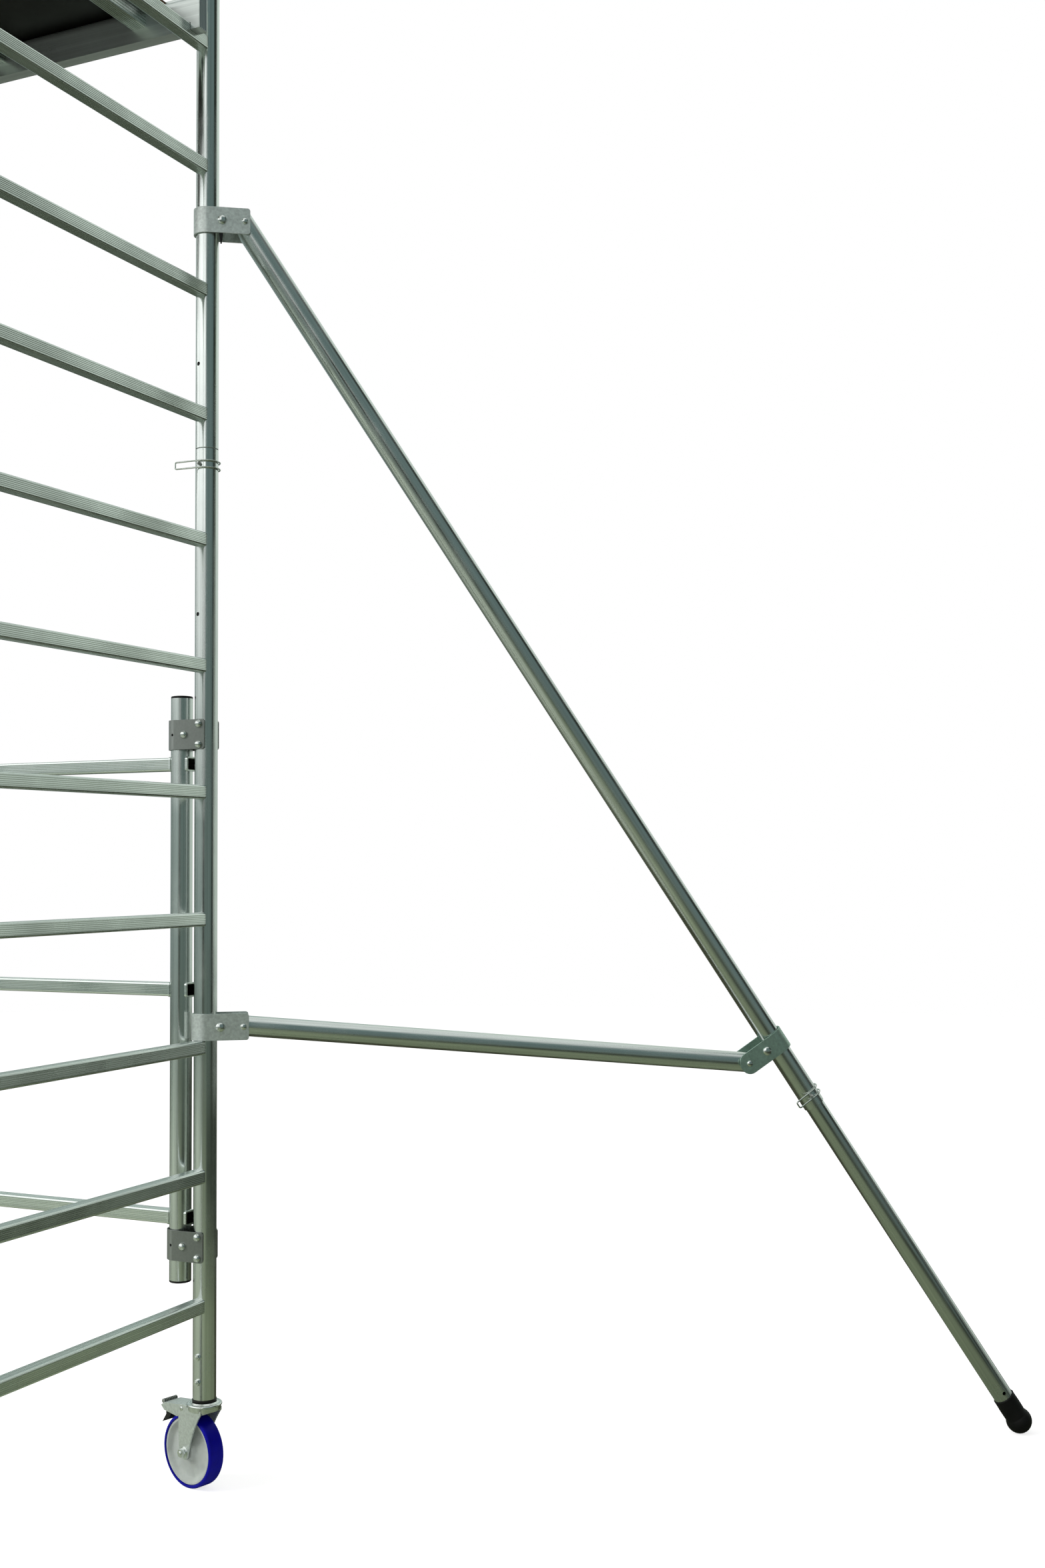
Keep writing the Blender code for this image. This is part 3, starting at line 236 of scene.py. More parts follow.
def bridge(bm: Mesh, first: list, second: list) -> None:
    """Join two rings of points with faces; a ring may be a single point."""
    count = max(len(first), len(second))
    for i in range(count if count > 1 else 0):
        j = (i + 1) % count
        corners = [first[i % len(first)], first[j % len(first)], second[j % len(second)],
                   second[i % len(second)]]
        bm.faces.new(list(dict.fromkeys(corners)))


def closed(bm: Mesh) -> Mesh:
    """The same mesh with its faces pointing out."""
    bmesh.ops.recalc_face_normals(bm, faces=bm.faces)
    return bm


def lathe(profile: Loop, sides: int = ROUND, ring: bool = False) -> Mesh:
    """A shape turned about Z.

    Args:
        profile: points of radius and height.
        sides: the number of facets round the axis.
        ring: whether the last point joins the first, as in a tube.

    Returns:
        The turned mesh.
    """
    bm = bmesh.new()
    rows = []
    for radius, height in profile:
        around = polygon(radius, sides) if radius > TINY else [(0.0, 0.0)]
        rows.append([bm.verts.new((x, y, height)) for x, y in around])
    for upper, lower in zip(rows, rows[1:] + ([rows[0]] if ring else [])):
        bridge(bm, upper, lower)
    return closed(bm)


def prism(outer: Loop, length: float, inner: Loop | None = None) -> Mesh:
    """A section drawn out along Z.

    Args:
        outer: the section's outline.
        length: how far it is drawn out.
        inner: the hollow's outline, with as many points as the outer one, or None for a solid bar.

    Returns:
        The mesh, from height 0 to its length.
    """
    bm = bmesh.new()
    rings = [[bm.verts.new((x, y, z)) for x, y in loop]
             for loop in ((outer, inner) if inner else (outer,)) for z in (0.0, length)]
    bridge(bm, rings[0], rings[1])
    if inner:
        bridge(bm, rings[1], rings[3])
        bridge(bm, rings[3], rings[2])
        bridge(bm, rings[2], rings[0])
    else:
        bm.faces.new(rings[0])
        bm.faces.new(rings[1])
    return closed(bm)


def sweep(points: list[Vector], radius: float, sides: int = WIRE_ROUND) -> Mesh:
    """A round wire along a line of points.

    Args:
        points: the wire's middle line.
        radius: the wire's radius.
        sides: the number of facets round it.

    Returns:
        The wire with closed ends.
    """
    bm = bmesh.new()
    runs = [(b - a).normalized() for a, b in zip(points, points[1:])]
    tangents = [runs[0], *((a + b).normalized() for a, b in zip(runs, runs[1:])), runs[-1]]
    normal = tangents[0].orthogonal()
    rings = []
    for point, tangent in zip(points, tangents):
        normal = (normal - tangent * normal.dot(tangent)).normalized()
        across = tangent.cross(normal)
        rings.append([bm.verts.new(point + normal * x + across * y) for x, y in polygon(radius, sides)])
    for first, second in zip(rings, rings[1:]):
        bridge(bm, first, second)
    bm.faces.new(rings[0])
    bm.faces.new(rings[-1])
    return closed(bm)


def rounded_path(points: list[Vector], radius: float) -> list[Vector]:
    """A line of points whose corners are rounded.

    Args:
        points: the corners, with the ends.
        radius: how far from a corner its rounding starts.

    Returns:
        The points of the rounded line.
    """
    path = [points[0]]
    for before, corner, after in zip(points, points[1:], points[2:]):
        back, ahead = before - corner, after - corner
        reach = min(radius, back.length / 2, ahead.length / 2)
        start, end = corner + back.normalized() * reach, corner + ahead.normalized() * reach
        for step in range(CORNER_STEPS + 1):
            t = step / CORNER_STEPS
            path.append(start * (1 - t) ** 2 + corner * 2 * t * (1 - t) + end * t ** 2)
    return path + [points[-1]]


def soften(bm: Mesh, width: float = EDGE, segments: int = 2) -> Mesh:
    """Round the sharp edges of a mesh.

    Args:
        bm: the mesh.
        width: the rounding's width.
        segments: the number of facets across it.

    Returns:
        The same mesh.
    """
    edges = [edge for edge in bm.edges if edge.is_manifold and edge.calc_face_angle() > SOFT_ANGLE]
    bmesh.ops.bevel(bm, geom=edges, offset=width, segments=segments, affect="EDGES", profile=0.5,
                    clamp_overlap=True)
    return bm


def box(low: tuple, high: tuple, edge: float = EDGE) -> Mesh:
    """A block between two corners with softened edges."""
    low, high = Vector(low), Vector(high)
    bm = bmesh.new()
    size = Matrix.Diagonal((*(high - low), 1.0))
    bmesh.ops.create_cube(bm, size=1.0, matrix=Matrix.Translation((low + high) / 2) @ size)
    return soften(bm, edge) if edge else bm


def cut(body: Mesh, cutters: list[Mesh]) -> Mesh:
    """A mesh less the cutters.

    Args:
        body: the mesh to cut, which is used up.
        cutters: closed meshes, which are used up too.

    Returns:
        The cut mesh.
    """
    group = bpy.data.collections.new("cutters")
    bpy.context.scene.collection.children.link(group)
    things = []
    for shape in (body, *cutters):
        mesh = bpy.data.meshes.new("cut")
        shape.to_mesh(mesh)
        shape.free()
        things.append(bpy.data.objects.new("cut", mesh))
    bpy.context.scene.collection.objects.link(things[0])
    for thing in things[1:]:
        group.objects.link(thing)
    modifier = things[0].modifiers.new("Cut", "BOOLEAN")
    modifier.operand_type = "COLLECTION"
    modifier.collection = group
    modifier.solver = "EXACT"
    bpy.context.view_layer.update()
    depsgraph = bpy.context.evaluated_depsgraph_get()
    result = bmesh.new()
    mesh = bpy.data.meshes.new_from_object(things[0].evaluated_get(depsgraph))
    result.from_mesh(mesh)
    for thing in things:
        bpy.data.objects.remove(thing, do_unlink=True)
    bpy.data.collections.remove(group)
    return result


def moved(x: float, y: float, z: float) -> Matrix:
    """A place that is moved and not turned."""
    return Matrix.Translation((x, y, z))


def facing(point: tuple | Vector, direction: tuple | Vector) -> Matrix:
    """A place whose Z axis points in a direction."""
    turn = Vector(direction).to_track_quat("Z", "Y").to_matrix().to_4x4()
    return Matrix.Translation(Vector(point)) @ turn


def tube(length: float, outer: float, wall: float = TUBE_WALL, lip: float = LIP) -> Mesh:
    """An open round tube along Z with softened lips."""
    inner = outer - wall
    profile = [(inner, lip), (inner + lip, 0.0), (outer - lip, 0.0), (outer, lip), (outer, length - lip),
               (outer - lip, length), (inner + lip, length), (inner, length - lip)]
    return lathe(profile, ring=True)


def rod(length: float, radius: float, sides: int = SMALL_ROUND, edge: float = EDGE) -> Mesh:
    """A round bar along Z with softened ends."""
    profile = [(0.0, 0.0), (radius - edge, 0.0), (radius, edge), (radius, length - edge),
               (radius - edge, length), (0.0, length)]
    return lathe(profile, sides)


def dome(radius: float, height: float) -> Mesh:
    """A domed bolt head that sits on Z = 0."""
    brim = height * BRIM_SHARE
    crown = [(radius * x, brim + (height - brim) * y) for x, y in quarter(DOME_STEPS)]
    return lathe([(0.0, 0.0), (radius, 0.0), *crown, (0.0, height)], SMALL_ROUND)


def hexagon(radius: float, height: float) -> Mesh:
    """A hexagon nut or head that sits on Z = 0, with chamfered corners."""
    return soften(prism(polygon(radius, 6), height), radius * CHAMFER_SHARE)


def ribbed_bar(length: float, width: float = RUNG_SIZE, height: float = RUNG_SIZE) -> Mesh:
    """A ribbed hollow bar along Z."""
    outer = ribbed_section(width, height, RUNG_CORNER, RUNG_RIBS, RIB_DEPTH)
    return prism(outer, length, square_inside(outer, width - 2 * RUNG_WALL, height - 2 * RUNG_WALL))


def u_strap(inner: float, sheet: float, reach: float, height: float, corner: float) -> Mesh:
    """A strap bent round Z into a U with its legs along +X.

    Args:
        inner: the bend's inner radius.
        sheet: the sheet's thickness.
        reach: how far the legs go from the bend's axis.
        height: the strap's height.
        corner: the radius of the legs' corners.

    Returns:
        The strap, with softened edges, in the middle of Z = 0.
    """
    outer = inner + sheet
    ends = arc((reach - corner, height / 2 - corner), corner, 0.0, 90.0, STRAP_STEPS)
    bend = [Vector(point) for point in arc((0.0, 0.0), 1.0, 90.0, 270.0, BEND_STEPS)]
    stations = [(Vector((x, outer)), Vector((x, inner)), half) for x, half in ends]
    stations += [(way * outer, way * inner, height / 2) for way in bend]
    stations += [(Vector((x, -outer)), Vector((x, -inner)), half) for x, half in reversed(ends)]
    bm = bmesh.new()
    rings = []
    for out, back, half in stations:
        rings.append([bm.verts.new((*out, half)), bm.verts.new((*out, -half)), bm.verts.new((*back, -half)),
                      bm.verts.new((*back, half))])
    for first, second in zip(rings, rings[1:]):
        bridge(bm, first, second)
    bm.faces.new(rings[0])
    bm.faces.new(rings[-1])
    return soften(closed(bm))


# Shader tools


class Graph:
    """A node tree that is being wired."""

    def __init__(self, tree: Tree) -> None:
        """Start on a tree."""
        self.tree = tree

    def add(self, kind: str, inputs: dict | None = None, **settings: object) -> Node:
        """Add a node.

        Args:
            kind: the node's type.
            inputs: a socket to link, or a constant, for each input by name or number.
            settings: the node's own properties.

        Returns:
            The new node.
        """
        node = self.tree.nodes.new(kind)
        for key, value in settings.items():
            setattr(node, key, value)
        for key, value in (inputs or {}).items():
            if isinstance(value, Socket):
                self.tree.links.new(value, node.inputs[key])
            else:
                node.inputs[key].default_value = value
        return node

    def link(self, socket: Socket, node: Node, name: str) -> None:
        """Link a socket to a node's input."""
        self.tree.links.new(socket, node.inputs[name])

    def own_place(self) -> Socket:
        """The socket of a point's place in its shape's own axes."""
        return self.add("ShaderNodeAttribute", attribute_name=ALONG).outputs["Vector"]

    def mix(self, factor: object, first: object, second: object) -> Socket:
        """The socket of a mix of two colours."""
        first, second = (value if isinstance(value, Socket) else (*value, 1.0)
                         for value in (first, second))
        return self.add("ShaderNodeMix", {0: factor, 6: first, 7: second}, data_type="RGBA").outputs[2]

    def math(self, operation: str, *values: object) -> Socket:
        """The socket of a sum on sockets or numbers."""
        return self.add("ShaderNodeMath", dict(enumerate(values)), operation=operation).outputs[0]

    def spread(self, value: object, low: float, high: float, start: float, end: float) -> Socket:
        """The socket of a value mapped from one range to another, and held at its ends."""
        names = {"Value": value, "From Min": low, "From Max": high, "To Min": start, "To Max": end}
        return self.add("ShaderNodeMapRange", names).outputs[0]

    def ramp(self, value: object, stops: Stops) -> Socket:
        """The socket of a colour ramp with those stops."""
        node = self.add("ShaderNodeValToRGB", {0: value})
        elements = node.color_ramp.elements
        while len(elements) < len(stops):
            elements.new(1.0)
        for element, (place, colour) in zip(elements, stops):
            element.position = place
            element.color = (*colour, 1.0)
        return node.outputs[0]


class Effects:
    """Surface effects that several finishes share, each a node group made once."""

    broad_share = 0.16
    coarse_share = 0.12
    line_range: Point = (0.34, 0.66)
    speckle_range: Point = (0.3, 0.7)
    smudge_range: Point = (0.38, 0.68)

    @staticmethod
    def group(name: str, inputs: dict[str, float], outputs: tuple[str, ...]) -> tuple:
        """Start a node group of plain values.

        Args:
            name: the group's name.
            inputs: its inputs and their first values.
            outputs: the names of its outputs.

        Returns:
            The graph, the input node and the output node.
        """
        tree = bpy.data.node_groups.new(name, "ShaderNodeTree")
        for label, value in inputs.items():
            socket = tree.interface.new_socket(label, in_out="INPUT", socket_type="NodeSocketFloat")
            socket.default_value = value
        for label in outputs:
            tree.interface.new_socket(label, in_out="OUTPUT", socket_type="NodeSocketFloat")
        graph = Graph(tree)
        return graph, graph.add("NodeGroupInput"), graph.add("NodeGroupOutput")

    @classmethod
    @cache
    def die_lines(cls) -> Tree:
        """Fine lines and broad streaks that an extrusion die leaves along a tube."""
        graph, given, out = cls.group("die_lines", {"Density": 900.0, "Stretch": 1.2}, ("Fine", "Broad"))
        place = graph.own_place()
        for label, share in (("Fine", 1.0), ("Broad", cls.broad_share)):
            across = graph.math("MULTIPLY", given.outputs["Density"], share)
            scale = graph.add("ShaderNodeCombineXYZ", {0: across, 1: across, 2: given.outputs["Stretch"]})
            drawn = graph.add("ShaderNodeVectorMath", {0: place, 1: scale.outputs[0]}, operation="MULTIPLY")
            noise = graph.add("ShaderNodeTexNoise", {"Vector": drawn.outputs[0], "Scale": 1.0, "Detail": 3.0})
            graph.link(graph.spread(noise.outputs[0], *cls.line_range, 0.0, 1.0), out, label)
        return graph.tree

    @classmethod
    @cache
    def speckle(cls) -> Tree:
        """The grain of a plated or moulded surface, fine and coarse."""
        graph, given, out = cls.group("speckle", {"Density": 700.0}, ("Fine", "Coarse"))
        place = graph.own_place()
        for label, share in (("Fine", 1.0), ("Coarse", cls.coarse_share)):
            scale = graph.math("MULTIPLY", given.outputs["Density"], share)
            noise = graph.add("ShaderNodeTexNoise", {"Vector": place, "Scale": scale, "Detail": 4.0})
            graph.link(graph.spread(noise.outputs[0], *cls.speckle_range, 0.0, 1.0), out, label)
        return graph.tree

    @classmethod
    @cache
    def edge_wear(cls) -> Tree:
        """A mask of the worn, bright edges of a piece."""
        graph, given, out = cls.group("edge_wear", {"Start": 0.52, "End": 0.60}, ("Mask",))
        point = graph.add("ShaderNodeNewGeometry").outputs["Pointiness"]
        mask = graph.add("ShaderNodeMapRange", {"Value": point, "From Min": given.outputs["Start"],
                                                "From Max": given.outputs["End"]})
        graph.link(mask.outputs[0], out, "Mask")
        return graph.tree

    @classmethod
    @cache
    def smudge(cls) -> Tree:
        """Broad patches of handling marks and dust."""
        graph, given, out = cls.group("smudge", {"Scale": 9.0}, ("Mask",))
        place = graph.add("ShaderNodeNewGeometry").outputs["Position"]
        noise = graph.add("ShaderNodeTexNoise", {"Vector": place, "Scale": given.outputs["Scale"],
                                                 "Detail": 5.0})
        graph.link(graph.spread(noise.outputs[0], *cls.smudge_range, 0.0, 1.0), out, "Mask")
        return graph.tree


@dataclass(frozen=True)
class Finish:
    """A surface finish; each kind wires its own effects into one Principled shader."""

    name: str
    colour: Colour
    roughness: float

    metallic = 0.0

    def material(self) -> bpy.types.Material:
        """The finish's material, made at its first use."""
        if self.name in bpy.data.materials:
            return bpy.data.materials[self.name]
        made = bpy.data.materials.new(self.name)
        made.use_nodes = True
        made.diffuse_color = (*self.colour, 1.0)
        shader = made.node_tree.nodes["Principled BSDF"]
        shader.inputs["Metallic"].default_value = self.metallic
        self.wire(Graph(made.node_tree), shader)
        return made

    def wire(self, graph: Graph, shader: Node) -> None:
        """Wire the finish's effects into the shader."""
        raise NotImplementedError

    @staticmethod
    def effect(graph: Graph, tree: Tree, **values: float) -> Node:
        """Place a shared effect with its own values.

        Args:
            graph: the material's graph.
            tree: the effect's node group.
            values: the effect's inputs, named in lower case.

        Returns:
            The group node.
        """
        node = graph.add("ShaderNodeGroup", node_tree=tree)
        for key, value in values.items():
            node.inputs[key.title()].default_value = value
        return node

    @staticmethod
    def shaded(colour: Colour, share: float) -> Colour:
        """A colour made darker or lighter by a share."""
        return tuple(min(1.0, channel * share) for channel in colour)

    @staticmethod
    def bump(graph: Graph, shader: Node, height: object, depth: float) -> None:
        """Raise the surface by a height socket, to a depth in metres."""
        node = graph.add("ShaderNodeBump", {"Height": height, "Strength": 1.0, "Distance": depth})
        graph.link(node.outputs[0], shader, "Normal")


@dataclass(frozen=True)
class DrawnAluminium(Finish):
    """Extruded aluminium with die lines along it, and patches dulled by handling."""

    density: float = 900.0
    line_depth: float = 0.00002
    dulling: float = 0.14
    patch_scale: float = 7.0
    streak_shade: float = 0.80
    line_shade: float = 0.62
    line_weight: float = 0.35
    line_roughness: float = 0.08

    metallic = 1.0

    def wire(self, graph: Graph, shader: Node) -> None:
        """Lines in colour, roughness and height; patches in roughness."""
        lines = self.effect(graph, Effects.die_lines(), density=self.density)
        patches = self.effect(graph, Effects.smudge(), scale=self.patch_scale)
        streaked = graph.mix(lines.outputs["Broad"], self.shaded(self.colour, self.streak_shade), self.colour)
        lined = graph.mix(graph.math("MULTIPLY", lines.outputs["Fine"], self.line_weight), streaked,
                          self.shaded(self.colour, self.line_shade))
        graph.link(lined, shader, "Base Color")
        dull = graph.math("MULTIPLY", patches.outputs["Mask"], self.dulling)
        rough = graph.math("MULTIPLY_ADD", lines.outputs["Fine"], self.line_roughness, self.roughness)
        graph.link(graph.math("ADD", rough, dull), shader, "Roughness")
        self.bump(graph, shader, lines.outputs["Fine"], self.line_depth)


@dataclass(frozen=True)
class OxidisedAluminium(DrawnAluminium):
    """Extruded aluminium under a thin pale oxide, which scatters part of the light."""

    metallic = 0.82


@dataclass(frozen=True)
class RibbedAluminium(DrawnAluminium):
    """Extruded aluminium whose grooves are painted a darker colour as painted shade."""

    half: Point = (RUNG_SIZE / 2, RUNG_SIZE / 2)
    # painted shade: the darker colour painted into the grooves
    groove: Colour = (0.48, 0.53, 0.47)
    sunk_share: float = 0.7

    def wire(self, graph: Graph, shader: Node) -> None:
        """The drawn metal's lines, with painted shade in the grooves where the section is sunk."""
        super().wire(graph, shader)
        metal = shader.inputs["Base Color"].links[0].from_socket
        place = graph.own_place()
        axes = graph.add("ShaderNodeSeparateXYZ", {0: place})
        # mask of the grooves, where the painted shade goes
        sunk = [graph.math("SUBTRACT", graph.math("ABSOLUTE", axes.outputs[axis]), self.half[axis])
                for axis in (0, 1)]
        below = graph.math("LESS_THAN", graph.math("MAXIMUM", *sunk), -RIB_DEPTH * self.sunk_share)
        clear = graph.math("LESS_THAN", graph.math("MINIMUM", *sunk), -RUNG_CORNER)
        mask = graph.math("MULTIPLY", below, clear)
        graph.link(graph.mix(mask, metal, self.groove), shader, "Base Color")


@dataclass(frozen=True)
class ZincPlate(Finish):
    """Plated steel sheet: a fine speckle, coarse clouds and bright edges."""

    density: float = 1500.0
    edge_colour: Colour = (0.85, 0.88, 0.86)
    contrast: float = 0.30
    grain_weight: float = 0.5
    wear_weight: float = 0.7
    roughness_spread: Point = (-0.07, 0.09)
    grain_depth: float = 0.00004

    metallic = 0.75

    def wire(self, graph: Graph, shader: Node) -> None:
        """Speckle in colour, roughness and height; wear on the edges."""
        grain = self.effect(graph, Effects.speckle(), density=self.density)
        wear = self.effect(graph, Effects.edge_wear())
        clouded = graph.mix(grain.outputs["Coarse"], self.shaded(self.colour, 1 - self.contrast),
                            self.shaded(self.colour, 1 + self.contrast / 2))
        speckled = graph.mix(graph.math("MULTIPLY", grain.outputs["Fine"], self.grain_weight), clouded,
                             self.shaded(self.colour, 1 - self.contrast))
        worn = graph.mix(graph.math("MULTIPLY", wear.outputs["Mask"], self.wear_weight), speckled,
                         self.edge_colour)
        graph.link(worn, shader, "Base Color")
        low, high = (self.roughness + step for step in self.roughness_spread)
        rough = graph.spread(grain.outputs["Fine"], 0.0, 1.0, low, high)
        graph.link(rough, shader, "Roughness")
        self.bump(graph, shader, grain.outputs["Fine"], self.grain_depth)


@dataclass(frozen=True)
class BrightSteel(ZincPlate):
    """Plated steel polished enough to mirror, as on nuts and spring wire."""

    metallic = 1.0


@dataclass(frozen=True)
class Moulding(Finish):
    """Moulded plastic or rubber with a fine grain, dusty patches and paler edges."""

    density: float = 900.0
    grain_depth: float = 0.00005
    dust: Colour = (0.30, 0.30, 0.28)
    dustiness: float = 0.12
    specular: float = 0.5
    patch_scale: float = 28.0
    shades: Point = (0.86, 1.08)
    roughness_spread: Point = (-0.05, 0.07)

    def wire(self, graph: Graph, shader: Node) -> None:
        """Grain in roughness and height; dust and scuffed edges in colour."""
        grain = self.effect(graph, Effects.speckle(), density=self.density)
        patches = self.effect(graph, Effects.smudge(), scale=self.patch_scale)
        wear = self.effect(graph, Effects.edge_wear())
        dark, light = (self.shaded(self.colour, share) for share in self.shades)
        clouded = graph.mix(grain.outputs["Coarse"], dark, light)
        dusty = graph.math("MULTIPLY", patches.outputs["Mask"], self.dustiness)
        scuffed = graph.math("MULTIPLY_ADD", wear.outputs["Mask"], self.dustiness, dusty)
        graph.link(graph.mix(scuffed, clouded, self.dust), shader, "Base Color")
        low, high = (self.roughness + step for step in self.roughness_spread)
        rough = graph.spread(grain.outputs["Fine"], 0.0, 1.0, low, high)
        graph.link(rough, shader, "Roughness")
        shader.inputs["Specular IOR Level"].default_value = self.specular
        self.bump(graph, shader, grain.outputs["Fine"], self.grain_depth)


@dataclass(frozen=True)
class DeckFilm(Finish):
    """The dark film on the deck's plywood, pressed with a fine mesh where feet stand."""

    mesh_pitch: float = 0.006
    mesh_depth: float = 0.0003
    specular: float = 0.3
    patch_scale: float = 5.0
    mark_share: float = 2.2
    grain_density: float = 300.0
    grain_weight: float = 0.4
    grain_shade: float = 0.6
    roughness_rise: float = 0.16

    def wire(self, graph: Graph, shader: Node) -> None:
        """Mesh in height, handling marks in colour and roughness."""
        place = graph.own_place()
        axes = graph.add("ShaderNodeSeparateXYZ", {0: place})
        waves = []
        for axis in (0, 1):
            turns = graph.math("MULTIPLY", axes.outputs[axis], 2 * math.pi / self.mesh_pitch)
            waves.append(graph.math("ABSOLUTE", graph.math("SINE", turns)))
        mesh = graph.math("MAXIMUM", *waves)
        patches = self.effect(graph, Effects.smudge(), scale=self.patch_scale)
        grain = self.effect(graph, Effects.speckle(), density=self.grain_density)
        marked = graph.mix(patches.outputs["Mask"], self.colour, self.shaded(self.colour, self.mark_share))
        weight = graph.math("MULTIPLY", grain.outputs["Coarse"], self.grain_weight)
        grained = graph.mix(weight, marked, self.shaded(self.colour, self.grain_shade))
        graph.link(grained, shader, "Base Color")
        high = self.roughness + self.roughness_rise
        rough = graph.spread(patches.outputs["Mask"], 0.0, 1.0, self.roughness, high)
        graph.link(rough, shader, "Roughness")
        shader.inputs["Specular IOR Level"].default_value = self.specular
        self.bump(graph, shader, mesh, self.mesh_depth)


@dataclass(frozen=True)
class PlywoodEdge(Finish):
    """The sawn edge of plywood with its thin veneers."""

    veneer: float = 0.0014
    layer_range: Point = (-0.4, 0.4)
    layer_shade: float = 0.5
    fibre_density: float = 500.0
    fibre_weight: float = 0.4
    fibre_shade: float = 0.4
    fibre_depth: float = 0.0002

    def wire(self, graph: Graph, shader: Node) -> None:
        """Veneers light and dark by height, with fibres along them."""
        place = graph.own_place()
        axes = graph.add("ShaderNodeSeparateXYZ", {0: place})
        layers = graph.math("SINE", graph.math("MULTIPLY", axes.outputs[2], math.pi / self.veneer))
        fibres = self.effect(graph, Effects.speckle(), density=self.fibre_density)
        layered = graph.mix(graph.spread(layers, *self.layer_range, 0.0, 1.0),
                            self.shaded(self.colour, self.layer_shade), self.colour)
        weight = graph.math("MULTIPLY", fibres.outputs["Fine"], self.fibre_weight)
        lined = graph.mix(weight, layered, self.shaded(self.colour, self.fibre_shade))
        graph.link(lined, shader, "Base Color")
        shader.inputs["Roughness"].default_value = self.roughness
        self.bump(graph, shader, fibres.outputs["Fine"], self.fibre_depth)


POLISHED = DrawnAluminium("polished_aluminium", (0.83, 0.87, 0.85), 0.13)
RIBBED = RibbedAluminium("ribbed_aluminium", (0.91, 0.96, 0.93), 0.18, density=700.0)
RIBBED_TUBE = RibbedAluminium("ribbed_cross_tube", (0.84, 0.89, 0.86), 0.18, density=700.0,
                              half=(0.020, 0.025))
DULL = OxidisedAluminium("dull_aluminium", (0.74, 0.79, 0.76), 0.27, density=500.0, dulling=0.10)
# painted shade: the claw blocks' aluminium is far darker than the beams', for the shade on them
SHADED_CLAW = DrawnAluminium("claw_aluminium", (0.20, 0.24, 0.25), 0.24, density=500.0, dulling=0.10)
ZINC = ZincPlate("zinc_plate", (0.74, 0.81, 0.77), 0.42)
DARK_ZINC = ZincPlate("dark_zinc_plate", (0.085, 0.102, 0.084), 0.38)
GREEN_ZINC = ZincPlate("green_zinc_plate", (0.36, 0.54, 0.44), 0.40, edge_colour=(0.66, 0.80, 0.72))
BRIGHT = BrightSteel("bright_zinc", (0.80, 0.83, 0.81), 0.16, contrast=0.15)
WIRE = BrightSteel("spring_wire", (0.66, 0.69, 0.64), 0.16, contrast=0.2)
PIN_STEEL = ZincPlate("pin_steel", (0.16, 0.17, 0.14), 0.34)
BLACK = Moulding("black_plastic", (0.006, 0.006, 0.006), 0.42, dustiness=0.02, specular=0.3)
RUBBER = Moulding("black_rubber", (0.005, 0.005, 0.005), 0.55, dustiness=0.01, specular=0.22)
TYRE = Moulding("blue_tyre", (0.003, 0.002, 0.36), 0.34, density=400.0, grain_depth=0.00002, dustiness=0.0,
                specular=0.15)
CORE = Moulding("grey_core", (0.55, 0.60, 0.56), 0.42, density=350.0, grain_depth=0.00006, dustiness=0.10,
                dust=(0.40, 0.40, 0.28))
FILM = DeckFilm("deck_film", (0.010, 0.010, 0.009), 0.48)
# painted shade: the underside film is the deck film at half its colour, for the shade under the deck
SHADED_UNDER_FILM = DeckFilm("deck_under_film", (0.005, 0.005, 0.0045), 0.40, mesh_depth=0.00003)
PLYWOOD = PlywoodEdge("plywood_edge", (0.20, 0.11, 0.055), 0.75)


class Piece:
    """A visible piece in the making: shapes are added at their places, each with its finish."""

    def __init__(self, name: str) -> None:
        """Start an empty piece."""
        self.name = name
        self.bm = bmesh.new()
        self.finishes: list[Finish] = []

    def add(self, shape: Mesh, finish: Finish, place: Matrix = Matrix()) -> None:
        """Add a shape, which is used up.

        Args:
            shape: a mesh in its own axes, which its finish follows.
            finish: the shape's finish.
            place: where the shape goes.
        """
        if finish not in self.finishes:
            self.finishes.append(finish)
        layer = shape.verts.layers.float_vector.new(ALONG)
        for vertex in shape.verts:
            vertex[layer] = vertex.co
        for face in shape.faces:
            face.smooth = True
            face.material_index = self.finishes.index(finish)
        shape.transform(place)
        if place.determinant() < 0:
            bmesh.ops.reverse_faces(shape, faces=shape.faces)
        mesh = bpy.data.meshes.new("shape")
        shape.to_mesh(mesh)
        shape.free()
        self.bm.from_mesh(mesh)
        bpy.data.meshes.remove(mesh)

    def set_down(self, body: str, slot: str, *nodes: str) -> None:
        """Finish the piece and hand it to the frame.

        Args:
            body: the body that it rides on.
            slot: the record's material slot that it belongs to; not used.
            nodes: the frame's nodes that it stands for.
        """
        mesh = bpy.data.meshes.new(self.name)
        self.bm.to_mesh(mesh)
        self.bm.free()
        mesh.set_sharp_from_angle(angle=SHARP_ANGLE)
        for finish in self.finishes:
            mesh.materials.append(finish.material())
        thing = bpy.data.objects.new(self.name, mesh)
        bpy.context.scene.collection.objects.link(thing)
        thing.modifiers.new("Shading", "WEIGHTED_NORMAL").keep_sharp = True
        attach(thing, body)
        if nodes:
            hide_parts(*nodes)
        LOG.info("%s rides on %s, %d faces", self.name, body, len(mesh.polygons))


